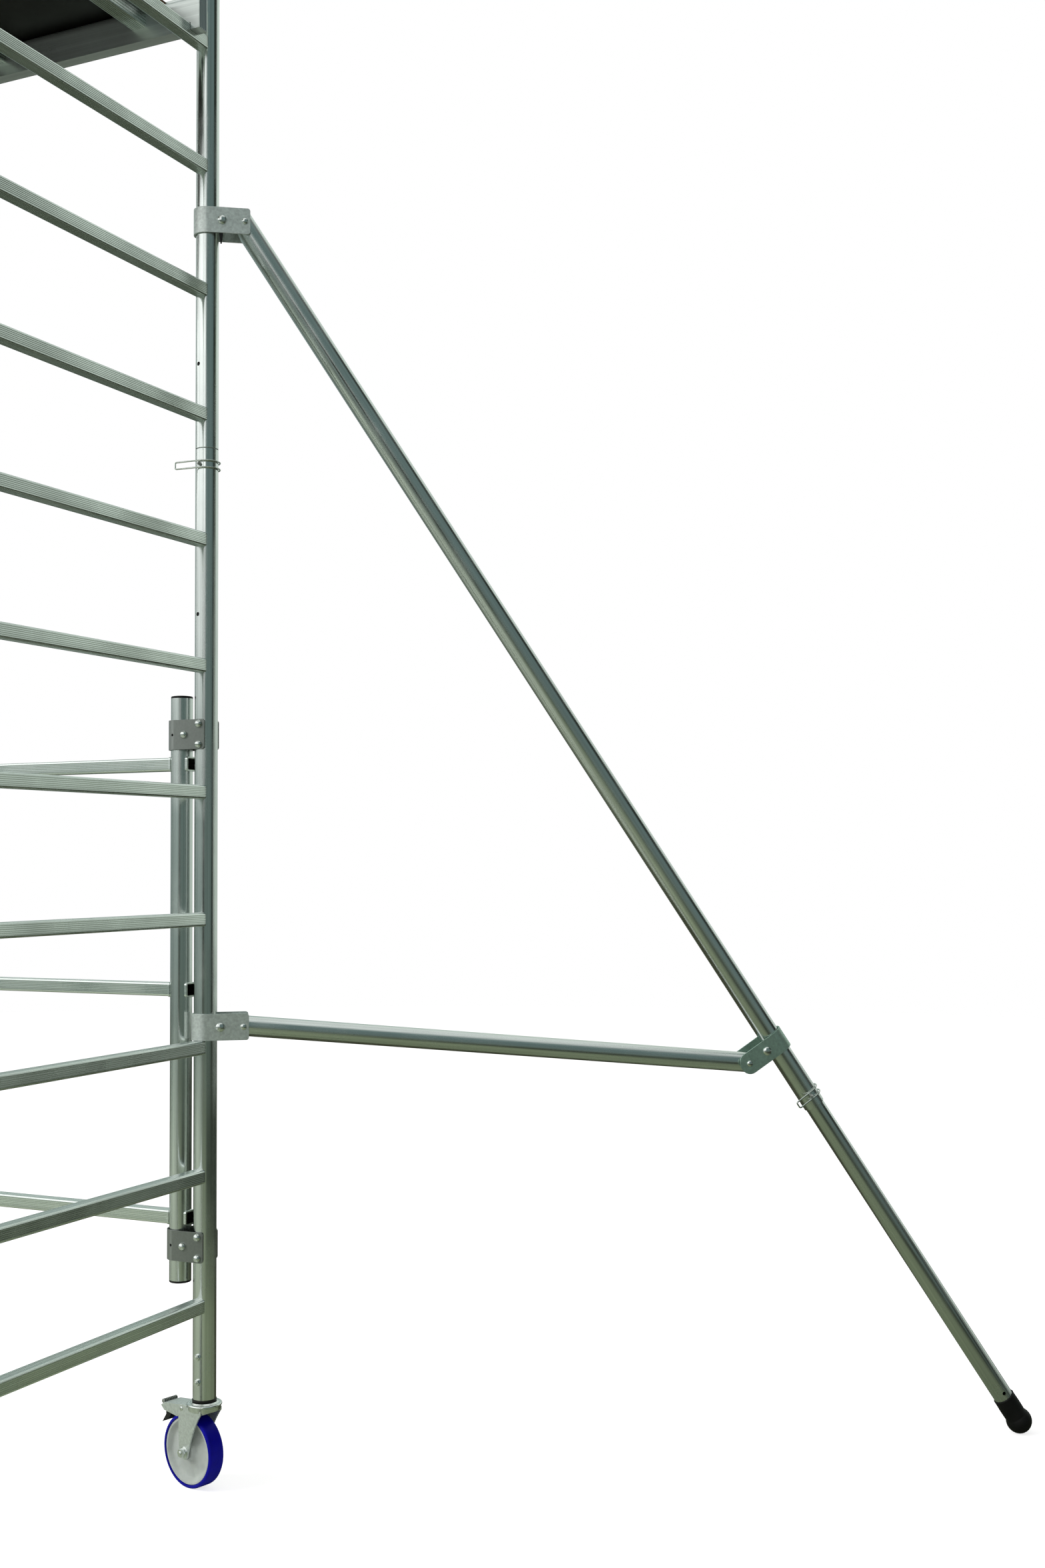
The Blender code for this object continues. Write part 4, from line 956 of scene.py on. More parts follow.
@dataclass(frozen=True)
class Datum:
    """The tower's main lines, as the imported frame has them."""

    half_bay: float
    half_width: float
    middle: float
    joints: dict

    @classmethod
    def of(cls, frame: dict) -> "Datum":
        """Read the lines off the castors' swivel axes.


        Returns:
            The datum.
        """
        joints = {joint["name"]: joint for joint in frame["joints"]}
        far = Vector(joints["castor_far_right_swivel"]["pos_m"])
        near = Vector(joints["castor_near_left_swivel"]["pos_m"])
        return cls((far.x - near.x) / 2, (far.y - near.y) / 2, (far.y + near.y) / 2, joints)

    @property
    def tower(self) -> Matrix:
        """The place of the tower's middle."""
        return moved(0.0, self.middle, 0.0)

    def at(self, x: float, y: float, z: float) -> Matrix:
        """A place from the tower's middle."""
        return self.tower @ moved(x, y, z)

    def upright(self, side: Side, row: Row) -> Vector:
        """The foot of an upright's axis on the ground, from the tower's middle."""
        return Vector((side.value * self.half_bay, row.value * self.half_width, 0.0))


ACROSS = Matrix.Rotation(-math.pi / 2, 4, "X")
LENGTHWISE = Matrix.Rotation(math.pi / 2, 4, "Y")


def add_nut(piece: Piece, place: Matrix, radius: float, bolt: float) -> None:
    """Add a hexagon nut on a washer with the bolt's end through it.

    Args:
        piece: the piece that carries it.
        place: the face that it sits on, with Z out of the face.
        radius: the nut's corner radius.
        bolt: the bolt's radius.
    """
    washer = radius * WASHER_RISE
    piece.add(rod(washer, radius * WASHER_REACH, SMALL_ROUND, washer / 4), BRIGHT, place)
    piece.add(hexagon(radius, radius * NUT_RISE), BRIGHT, place @ moved(0, 0, washer))
    piece.add(rod(radius * BOLT_RISE, bolt, SMALL_ROUND, bolt / 4), BRIGHT, place)


def add_bolt(piece: Piece, frame: Matrix, at: Point, half: float, shank: float, head: float, front: int,
             rise: float = 0.62) -> None:
    """Add a domed bolt across a strap, with its nut behind.

    Args:
        piece: the piece that carries it.
        frame: the strap's own frame.
        at: the bolt's place in X and Z.
        half: the distance from the strap's middle to its outer face.
        shank: the bolt's radius.
        head: the domed head's radius.
        front: the sign of Y on the head's side.
        rise: the head's height as a share of its radius.
    """
    x, z = at
    piece.add(rod(2 * half, shank), BRIGHT, frame @ facing((x, -half, z), (0, 1, 0)))
    piece.add(dome(head, head * rise), BRIGHT, frame @ facing((x, front * half, z), (0, front, 0)))
    add_nut(piece, frame @ facing((x, -front * half, z), (0, -front, 0)), head * NUT_SHARE, shank)


@dataclass
class LockBow:
    """A lock pin's spring wire bow, whose ends turn in the pin's head."""

    wire: float = 0.0018
    half_height: float = 0.0076
    wrap_gap: float = 0.0035
    step_out: float = 0.0052
    first: float = 68.0
    last: float = -90.0
    corner: float = 0.004

    def eye(self, tube_radius: float) -> float:
        """How far the pin's eye stands from the tube's axis."""
        return tube_radius + PIN_HEAD_LENGTH / 2

    def shape(self, tube_radius: float, finger: float, head: int, wrap: int) -> Mesh:
        """The bent wire.

        Args:
            tube_radius: the radius of the tube that it wraps.
            finger: how far its finger end goes past the tube's axis.
            head: the sign of Y on the pin head's side.
            wrap: the sign of X on the side that it wraps round.

        Returns:
            The wire, from the pin's eye as its origin.
        """
        reach, eye = tube_radius + self.wrap_gap, self.eye(tube_radius)
        bend = arc((0.0, 0.0), reach, self.first, self.last, BEND_STEPS)
        flat = [(0.0, eye), (self.step_out, eye), *bend, (-finger, -reach - self.wrap_gap)]
        path = [(wrap * x, head * (y - eye)) for x, y in flat]
        upper = [Vector((x, y, self.half_height)) for x, y in path]
        lower = [Vector((x, y, -self.half_height)) for x, y in reversed(path)]
        ends = [Vector((0.0, 0.0, height)) for height in (self.wire, -self.wire)]
        return sweep(rounded_path([ends[0], *upper, *lower, ends[1]], self.corner), self.wire)


def add_lock_pin(piece: Piece, place: Matrix, tube_radius: float) -> None:
    """Add a lock pin through a tube.

    Args:
        piece: the piece that carries it.
        place: the tube's middle, with Z towards the pin's head.
        tube_radius: the tube's radius.
    """
    tip, end = tube_radius + PIN_TIP, tube_radius - PIN_SUNK
    profile = [(0.0, -tip), (PIN_POINT[0], -tip + PIN_POINT[1]), (PIN_RADIUS, -tip + PIN_TAPER),
               (PIN_RADIUS, end), (0.0, end)]
    piece.add(lathe(profile, PIN_SIDES), PIN_STEEL, place)
    low, top, radius = tube_radius + PIN_HEAD_GAP, tube_radius + PIN_HEAD_LENGTH, PIN_HEAD_RADIUS
    head = [(0.0, low), (radius - PIN_HEAD_FOOT[0], low), (radius, low + PIN_HEAD_FOOT[1]),
            (radius, top - PIN_HEAD_CROWN[1]), (radius - PIN_HEAD_CROWN[0], top), (0.0, top)]
    piece.add(lathe(head, SMALL_ROUND), BRIGHT, place)


@dataclass
class LadderFrame:
    """A ladder frame at one end of the bay: two uprights, seven ribbed rungs, pins and castor bolts."""

    datum: Datum
    side: Side
    upper: bool
    spigot_radius: float = 0.0230
    spigot_length: float = 0.120
    joint_gap: float = 0.0014
    drill_radius: float = 0.0046
    plug_depth: float = 0.0005
    # painted shade: gap between the black rod behind the hole and the tube's inner wall
    drill_above_rung: float = 0.114
    drill_turn: float = 14.0
    rung_sunk: float = 0.006
    bolt_heights: tuple[float, float] = (0.039, 0.093)
    bolt_radius: float = 0.0072
    bolt_shank: float = 0.004
    bolt_rise: float = 0.0055
    bolt_sunk: float = 0.0008

    @property
    def node(self) -> str:
        """The frame's node."""
        return f"{'upper' if self.upper else 'base'}_frame_{self.side.word}"

    def rung_heights(self) -> list[float]:
        """The heights of the frame's rungs."""
        first = RUNGS_PER_FRAME if self.upper else 0
        return [FIRST_RUNG + RUNG_PITCH * (first + number) for number in range(RUNGS_PER_FRAME)]

    def upright(self, row: Row) -> tuple[Mesh, Mesh]:
        """One upright with its drilled hole, and a black rod behind the hole as painted shade in it."""
        foot = JOINT_Z + self.joint_gap if self.upper else UPRIGHT_FOOT
        top = TOP_Z if self.upper else JOINT_Z
        below = self.rung_heights()[0 if self.upper else RUNGS_PER_FRAME - 2]
        drilled = below + self.drill_above_rung - foot
        drill = rod(2 * UPRIGHT_RADIUS, self.drill_radius, SMALL_ROUND, TINY)
        drill.transform(facing((0, 0, drilled), self.inward(row)))
        shape = cut(tube(top - foot, UPRIGHT_RADIUS), [drill])
        shape.transform(moved(0, 0, foot))
        # painted shade: a black rod inside the tube makes the drilled hole read dark
        plug = rod(UPRIGHT_RADIUS - TUBE_WALL - self.plug_depth, 2 * self.drill_radius)
        plug.transform(facing((0, 0, foot + drilled), self.inward(row)))
        return shape, plug

    def inward(self, row: Row) -> Vector:
        """The way that an upright's drilled hole faces."""
        turn = math.radians(self.drill_turn)
        return Vector((-self.side.value * math.sin(turn), -row.value * math.cos(turn), 0.0))

    def build(self) -> None:
        """Build the uprights, the rungs and the fittings."""
        uprights, rungs = Piece(f"{self.node}_uprights"), Piece(f"{self.node}_rungs")
        fittings = Piece(f"{self.node}_fittings")
        for row in Row:
            place = self.datum.tower @ Matrix.Translation(self.datum.upright(self.side, row))
            drilled, plug = self.upright(row)
            uprights.add(drilled, POLISHED, place)
            # painted shade behind the drilled hole
            uprights.add(plug, BLACK, place)
            if self.upper:
                spigot = tube(self.spigot_length + PAST, self.spigot_radius)
                uprights.add(spigot, DULL, place @ moved(0, 0, JOINT_Z - self.spigot_length))
                continue
            pin = facing((0, 0, JOINT_Z - PIN_BELOW_JOINT), (0, row.value, 0))
            add_lock_pin(fittings, place @ pin, UPRIGHT_RADIUS)
            for height in self.bolt_heights:
                self.add_castor_bolt(fittings, place, height, row)
        reach = self.datum.half_width - UPRIGHT_RADIUS + self.rung_sunk
        for height in self.rung_heights():
            start = self.datum.at(self.side.value * self.datum.half_bay, -reach, height)
            rungs.add(ribbed_bar(2 * reach), RIBBED, start @ ACROSS)
        uprights.set_down("tower", "aluminium", self.node)
        rungs.set_down("tower", "aluminium")
        if not self.upper:
            fittings.set_down("tower", "zinc")

    def add_castor_bolt(self, piece: Piece, place: Matrix, height: float, row: Row) -> None:
        """Add a bolt through the upright that holds the castor's stem, its nut on the inside."""
        level = UPRIGHT_FOOT + height
        sunk = UPRIGHT_RADIUS - self.bolt_sunk
        inside = place @ facing((0, -row.value * sunk, level), (0, -row.value, 0))
        add_nut(piece, inside, self.bolt_radius, self.bolt_shank)
        outside = place @ facing((0, row.value * sunk, level), (0, row.value, 0))
        piece.add(hexagon(self.bolt_radius, self.bolt_rise), BRIGHT, outside)


@dataclass
class SideGate:
    """The folding side gate between the far uprights, with its caps and hinge straps."""

    datum: Datum
    offset: float = 0.065
    post_radius: float = 0.02415
    bottom: float = 0.4476
    top: float = 1.731
    rung_heights: tuple[float, ...] = (0.584, 1.084, 1.584)
    rung_past: float = 0.0018
    flare: float = 0.0014
    flare_length: float = 0.005
    collar_sunk: Point = (0.003, 0.004)
    collar_edge: float = 0.0005
    cap_depth: float = 0.018
    cap_gap: float = 0.0002
    cap_rim: float = 0.0030
    cap_crown: Point = (0.0036, 0.0026)
    crown_share: float = 0.985
    strap_heights: tuple[float, float] = (0.527, 1.648)
    strap_height: float = 0.066
    strap_sheet: float = 0.003
    strap_inner: float = 0.026
    strap_reach: float = 0.079
    strap_corner: float = 0.006
    bolt_spacing: float = 0.045
    bolt_radius: float = 0.004
    bolt_head: float = 0.0088
    head_rise: float = 0.95
    screw_from_post: float = 0.026
    hole_from_post: float = -0.006
    hole_radius: float = 0.0032

    def build(self) -> None:
        """Build the posts, the rungs, the caps and the straps."""
        self.build_posts()
        self.build_rungs()
        for side in Side:
            self.build_caps(side)
            for level, word in enumerate(("lower", "upper")):
                self.build_strap(side, level, word)

    def post_place(self, side: Side, height: float) -> Matrix:
        """A place on a post's axis."""
        x = side.value * (self.datum.half_bay - self.offset)
        return self.datum.at(x, self.datum.half_width, height)

    def build_posts(self) -> None:
        """The hinge posts, cut where the rungs go through them."""
        piece = Piece("side_gate_posts")
        half = RUNG_SIZE / 2 - RUNG_WALL / 2
        for side in Side:
            windows = [box((-2 * self.post_radius, -half, height - self.bottom - half),
                           (2 * self.post_radius, half, height - self.bottom + half), 0.0)
                       for height in self.rung_heights]
            shape = cut(tube(self.top - self.bottom, self.post_radius), windows)
            piece.add(shape, POLISHED, self.post_place(side, self.bottom))
        piece.set_down("tower", "aluminium", "side_gate")

    def build_rungs(self) -> None:
        """The gate's rungs, open at their ends, with flared collars at the posts."""
        piece = Piece("side_gate_rungs")
        reach = self.datum.half_bay - self.offset
        end = reach + self.post_radius + self.rung_past
        (outside, inside), edge = self.collar_sunk, self.collar_edge
        outer = ribbed_section(RUNG_SIZE + 2 * self.flare, RUNG_SIZE + 2 * self.flare,
                               RUNG_CORNER + self.flare, RUNG_RIBS, TINY)
        inner = square_inside(outer, RUNG_SIZE - 2 * RUNG_WALL, RUNG_SIZE - 2 * RUNG_WALL)
        for height in self.rung_heights:
            start = self.datum.at(-end, self.datum.half_width, height)
            piece.add(ribbed_bar(2 * end), RIBBED, start @ LENGTHWISE)
            for side in Side:
                for offset in (self.post_radius - outside, inside - self.post_radius - self.flare_length):
                    x = side.value * (reach + offset)
                    collar = soften(prism(outer, self.flare_length - edge, inner), edge)
                    place = self.datum.at(x, self.datum.half_width, height)
                    turn = LENGTHWISE if side is Side.RIGHT else LENGTHWISE.inverted()
                    piece.add(collar, RIBBED, place @ turn)
        piece.set_down("tower", "aluminium")

    def build_caps(self, side: Side) -> None:
        """The black caps in the ends of a post."""
        plug, rim = self.post_radius - TUBE_WALL - self.cap_gap, self.post_radius
        foot, rise = self.cap_crown
        crown = [(rim * x * self.crown_share, foot + rise * y) for x, y in quarter(DOME_STEPS)]
        profile = [(0.0, -self.cap_depth), (plug, -self.cap_depth), (plug, 0.0), (rim, 0.0),
                   (rim, self.cap_rim), *crown, (0.0, foot + rise)]
        for end, level in ((1, "top"), (-1, "bottom")):
            height = self.top if end > 0 else self.bottom
            place = self.post_place(side, height) @ facing((0, 0, 0), (0, 0, end))
            piece = Piece(f"post_cap_{side.word}_{level}_moulding")
            piece.add(lathe(profile), BLACK, place)
            piece.set_down("tower", "black", f"post_cap_{side.word}_{level}")

    def build_strap(self, side: Side, level: int, word: str) -> None:
        """A hinge strap round a post, bolted through the upright."""
        piece = Piece(f"hinge_strap_{side.word}_{word}_sheet")
        turn = Matrix() if side is Side.RIGHT else Matrix.Rotation(math.pi, 4, "Z")
        place = self.post_place(side, self.strap_heights[level]) @ turn
        strap = u_strap(self.strap_inner, self.strap_sheet, self.strap_reach, self.strap_height,
                        self.strap_corner)
        half = self.strap_inner + self.strap_sheet
        front = -side.value
        hole = rod(2 * half, self.hole_radius, SMALL_ROUND, TINY)
        hole.transform(facing((self.hole_from_post, 0.0, 0.0), (0, front, 0)))
        piece.add(cut(strap, [hole]), DARK_ZINC, place)
        step = self.bolt_spacing / 2
        for at in ((self.offset, -step), (self.offset, step), (self.screw_from_post, 0.0)):
            add_bolt(piece, place, at, half, self.bolt_radius, self.bolt_head, front, self.head_rise)
        piece.set_down("tower", "zinc", f"hinge_strap_{side.word}_{word}")


@dataclass
class Platform:
    """The platform: hollow side beams with claws, ribbed cross tubes, deck, hatch and latches."""

    datum: Datum
    rung_number: int = 11
    beam_height: float = 0.090
    beam_width: float = 0.030
    wall: float = 0.0025
    shoulder: float = 0.022
    lip: float = 0.006
    side_gap: float = 0.0326
    claw_length: float = 0.0225
    claw_foot: float = 0.0005
    claw_edge: float = 0.001
    claw_sunk: float = 0.0036
    claw_grooves: int = 5
    claw_face: tuple[Point, ...] = ((0.0040, 0.15), (0.0040, 0.75), (0.0026, 0.85), (0.0026, 1.0))
    clearance: float = 0.0005
    fit: float = 0.0003
    deck_thickness: float = 0.010
    deck_end_gap: float = 0.070
    film: float = 0.0012
    tube_width: float = 0.040
    tube_height: float = 0.050
    tube_places: tuple[float, ...] = (0.80, 0.40, -0.04, -0.66, -0.80)
    hatch_x: float = -0.350
    hatch_length: float = 0.594
    hatch_width: float = 0.494
    hatch_gap: float = 0.003
    finger_inset: float = 0.055
    leaf_share: float = 0.6
    leaf_half: float = 0.035
    leaf_reach: Point = (0.032, 0.002)
    leaf_sheet: float = 0.0018
    screw: Point = (0.004, 0.0014)
    screw_place: Point = (0.02, 0.018)
    screw_sunk: float = 0.0002
    rivet: Point = (0.006, 0.0016)
    rivet_inset: Point = (0.025, 0.02)
    rivet_shares: tuple[float, ...] = (-0.85, -0.3, 0.3, 0.85)
    latch_sheet: float = 0.004
    latch_arm: float = 0.014
    latch_hook: float = 0.024
    latch_head: Point = (0.0065, 0.003)

    @property
    def rung_z(self) -> float:
        """The height of the rung that the claws sit on, and of the beams' underside."""
        return FIRST_RUNG + RUNG_PITCH * (self.rung_number - 1)

    @property
    def deck_top(self) -> float:
        """The deck's upper face."""
        return self.rung_z + self.beam_height

    @property
    def outer_y(self) -> float:
        """The outer face of the beams."""
        return self.datum.half_width - UPRIGHT_RADIUS - self.side_gap

    @property
    def end(self) -> float:
        """The end of the claws."""
        return self.datum.half_bay + RUNG_SIZE / 2 + self.clearance + self.claw_length

    def build(self) -> None:
        """Build the beams, the tubes, the deck, the hatch and the latches."""
        self.build_beams()
        self.build_tubes()
        self.build_deck()
        self.build_hatch()
        for side in Side:
            self.build_latch(side)

    def section(self, inset: float) -> Loop:
        """The beam's outline, or with an inset its hollow, from the outer bottom corner."""
        ledge = self.beam_height - self.deck_thickness
        centre = (self.beam_width - self.shoulder, ledge - self.shoulder)
        curve = arc(centre, self.shoulder - inset, 90, 0, 10)
        if inset:
            top = ledge - inset
            return [(inset, inset), (inset, top - inset), (inset, top), (self.lip, top), *curve,
                    (self.beam_width - inset, inset)]
        return [(0, 0), (0, self.beam_height), (self.lip, self.beam_height), (self.lip, ledge), *curve,
                (self.beam_width, 0)]

    def build_beams(self) -> None:
        """The side beams, notched over the rungs, with grooved claw ends."""
        piece = Piece("platform_beams")
        notch = RUNG_SIZE / 2 + self.clearance
        for row in Row:
            turn = Matrix(((0, 0, 1, 0), (-row.value, 0, 0, 0), (0, 1, 0, 0), (0, 0, 0, 1)))
            place = self.datum.at(-self.end, row.value * self.outer_y, self.rung_z) @ turn
            shape = prism(self.section(0.0), 2 * self.end, self.section(self.wall))
            cutters = []
            for side in Side:
                middle = self.end + side.value * self.datum.half_bay
                cutters.append(box((-PAST, -PAST, middle - notch),
                                   (2 * PAST + self.beam_width, notch, middle + notch), 0.0))
            piece.add(cut(shape, cutters), DULL, place)
            for side in Side:
                self.add_claw_end(piece, side, row)
        piece.set_down("tower", "aluminium", "platform_frame")

    def add_claw_end(self, piece: Piece, side: Side, row: Row) -> None:
        """Add the grooved block that closes a claw's end."""
        edge = self.claw_edge
        height = self.beam_height - self.deck_thickness - edge - self.claw_foot
        pitch = (self.beam_width - 2 * edge) / self.claw_grooves
        face: Loop = [(0.0, edge)]
        for number in range(self.claw_grooves):
            face += [(reach, edge + pitch * (number + share)) for reach, share in self.claw_face]
        face.append((0.0, self.beam_width - edge))
        turn = Matrix(((side.value, 0, 0, 0), (0, -row.value, 0, 0), (0, 0, 1, 0), (0, 0, 0, 1)))
        base = self.datum.at(side.value * (self.end - self.claw_sunk), row.value * self.outer_y,
                             self.rung_z + self.claw_foot)
        # painted shade: the block takes the darkened claw finish
        piece.add(prism(face, height), SHADED_CLAW, base @ turn)

    def build_tubes(self) -> None:
        """The ribbed cross tubes between the beams."""
        piece = Piece("platform_cross_tubes")
        inner = self.outer_y - self.beam_width + self.wall / 2
        middle = self.deck_top - self.deck_thickness - self.tube_height / 2 - self.fit
        for x in self.tube_places:
            start = self.datum.at(x, -inner, middle)
            piece.add(ribbed_bar(2 * inner, self.tube_width, self.tube_height), RIBBED_TUBE, start @ ACROSS)
        piece.set_down("tower", "aluminium")

    def add_board(self, piece: Piece, outer: Loop, hole: Loop | None, place: Matrix) -> None:
        """Add a plywood board with its films, its top on Z = 0 of the place."""
        levels = (-self.deck_thickness, -self.deck_thickness + self.film, -self.film, 0.0)
        # painted shade: the underside layer takes the darker underside film
        layers = list(zip(levels, levels[1:], (SHADED_UNDER_FILM, PLYWOOD, FILM)))
        for low, high, finish in reversed(layers):
            shape = prism(outer, high - low, hole)
            shape.transform(moved(0, 0, low))
            piece.add(shape, finish, place)

    def build_deck(self) -> None:
        """The deck board with its hatchway."""
        piece = Piece("deck_board")
        x, y = self.datum.half_bay - self.deck_end_gap, self.outer_y - self.lip - self.fit
        half_x, half_y = self.hatch_length / 2 + self.hatch_gap, self.hatch_width / 2 + self.hatch_gap
        outer = [(-x, -y), (x, -y), (x, y), (-x, y)]
        left, right = self.hatch_x - half_x, self.hatch_x + half_x
        hole = [(left, -half_y), (right, -half_y), (right, half_y), (left, half_y)]
        place = self.datum.at(0, 0, self.deck_top)
        self.add_board(piece, outer, hole, place)
        in_x, in_y = self.rivet_inset
        rivets = [(side.value * (x - in_x), y * share) for side in Side for share in self.rivet_shares]
        rivets += [(tube_x, sign * (y - in_y)) for tube_x in self.tube_places for sign in (-1, 1)]
        for rivet in rivets:
            piece.add(dome(*self.rivet), BRIGHT, place @ moved(*rivet, 0.0))
        piece.set_down("tower", "deck", "deck_panel")

    def build_hatch(self) -> None:
        """The hatch with its finger hole rim and hinge leaves."""
        piece = Piece("hatch_board")
        half = self.hatch_length / 2
        hinge = Vector(self.datum.joints["hatch_hinge"]["pos_m"])
        place = Matrix.Translation(hinge)
        outer = [(-half, -self.hatch_width), (half, -self.hatch_width), (half, 0.0), (-half, 0.0)]
        self.add_board(piece, outer, None, place)
        ring = [(0.016, -0.0002), (0.024, -0.0002), (0.0245, 0.0006), (0.023, 0.0014), (0.017, 0.0014)]
        finger = -self.hatch_width + self.finger_inset
        piece.add(lathe(ring, ROUND, True), DARK_ZINC, place @ moved(0.0, finger, 0.0))
        piece.add(rod(0.0010, 0.0162), BLACK, place @ moved(0.0, finger, -0.0004))
        back, front = self.leaf_reach
        spread, inset = self.screw_place
        for side in reversed(Side):
            x = side.value * self.leaf_share * half
            leaf = box((x - self.leaf_half, -back, 0.0), (x + self.leaf_half, -front, self.leaf_sheet))
            piece.add(leaf, DARK_ZINC, place)
            for step in (-spread, spread):
                spot = moved(x + step, -inset, self.leaf_sheet - self.screw_sunk)
                piece.add(dome(*self.screw), BRIGHT, place @ spot)
        piece.set_down("hatch", "deck", "hatch_panel")

    def build_latch(self, side: Side) -> None:
        """A wind latch that swings in under the rung, with its pivot's head."""
        piece = Piece(f"platform_latch_{side.word}_hook")
        pivot = Vector(self.datum.joints[f"platform_latch_{side.word}_swing"]["pos_m"])
        inboard = self.datum.half_bay - abs(pivot.x)
        floor = self.rung_z - pivot.z - RUNG_SIZE / 2 - self.clearance
        heel = inboard - RUNG_SIZE / 2 - self.clearance
        reach, arm, toe = inboard + RUNG_SIZE / 4, self.latch_arm / 2, floor - self.latch_hook / 2
        points = [*arc((0, 0), arm, 0, 180, 12), (-arm, floor), (heel - self.latch_hook, toe), (reach, toe),
                  (reach, floor), (heel - arm, floor), (arm, -arm)]
        turn = Matrix(((side.value, 0, 0, 0), (0, 0, -side.value, 0), (0, 1, 0, 0), (0, 0, 0, 1)))
        plate = prism(points, self.latch_sheet)
        plate.transform(moved(0, 0, -self.latch_sheet / 2))
        piece.add(soften(plate), ZINC, Matrix.Translation(pivot) @ turn)
        outside = pivot + Vector((0, self.latch_sheet / 2, 0))
        piece.add(dome(*self.latch_head), BRIGHT, facing(outside, (0, 1, 0)))
        piece.set_down(f"platform_latch_{side.word}", "zinc", f"platform_latch_{side.word}")


@dataclass
class GuardRail:
    """A double guard rail with C-shaped clips on the uprights."""

    datum: Datum
    row: Row
    radius: float = 0.020
    levels: tuple[float, float] = (3.700, 4.215)
    post_radius: float = 0.015
    post_inset: float = 0.075
    clip_gap: float = 0.0012
    clip_sheet: float = 0.005
    clip_height: float = 0.044
    clip_edge: float = 0.0008
    clip_steps: int = 28
    band_inset: float = 0.012
    band_length: float = 0.008
    band_sheet: float = 0.0012
    post_share: float = 0.8
    mouth: float = 100.0

    def build(self) -> None:
        """Build the rails, the posts and the clips."""
        piece = Piece(f"guard_rail_{self.row.word}_tubes")
        clips = Piece(f"guard_rail_{self.row.word}_clips")
        y = self.row.value * self.datum.half_width
        inner = UPRIGHT_RADIUS + self.clip_gap
        end = self.datum.half_bay - inner - self.clip_sheet / 2
        for level in self.levels:
            start = self.datum.at(-end, y, level)
            piece.add(tube(2 * end, self.radius), POLISHED, start @ LENGTHWISE)
            for side in Side:
                clip = soften(prism(self.clip_outline(inner), self.clip_height), self.clip_edge)
                low = level - self.clip_height / 2
                clips.add(clip, DULL, self.datum.at(side.value * self.datum.half_bay, y, low))
                band = tube(self.band_length, self.radius + self.band_sheet, self.band_sheet)
                place = self.datum.at(side.value * (end - self.band_inset), y, level) @ LENGTHWISE
                clips.add(band, DULL, place)
        for side in Side:
            x = side.value * (self.datum.half_bay - self.post_inset)
            low, high = self.levels
            sunk = self.radius * self.post_share
            post = tube(high - low - 2 * sunk, self.post_radius)
            piece.add(post, POLISHED, self.datum.at(x, y, low + sunk))
        piece.set_down("tower", "aluminium", f"guard_rail_{self.row.word}")
        clips.set_down("tower", "aluminium")

    def clip_outline(self, inner: float) -> Loop:
        """The section of a clip round an upright, open away from the bay's middle."""
        first, last = self.row.value * 90 + self.mouth / 2, self.row.value * 90 + 360 - self.mouth / 2
        outer = inner + self.clip_sheet
        return [*arc((0, 0), outer, first, last, self.clip_steps),
                *arc((0, 0), inner, last, first, self.clip_steps)]


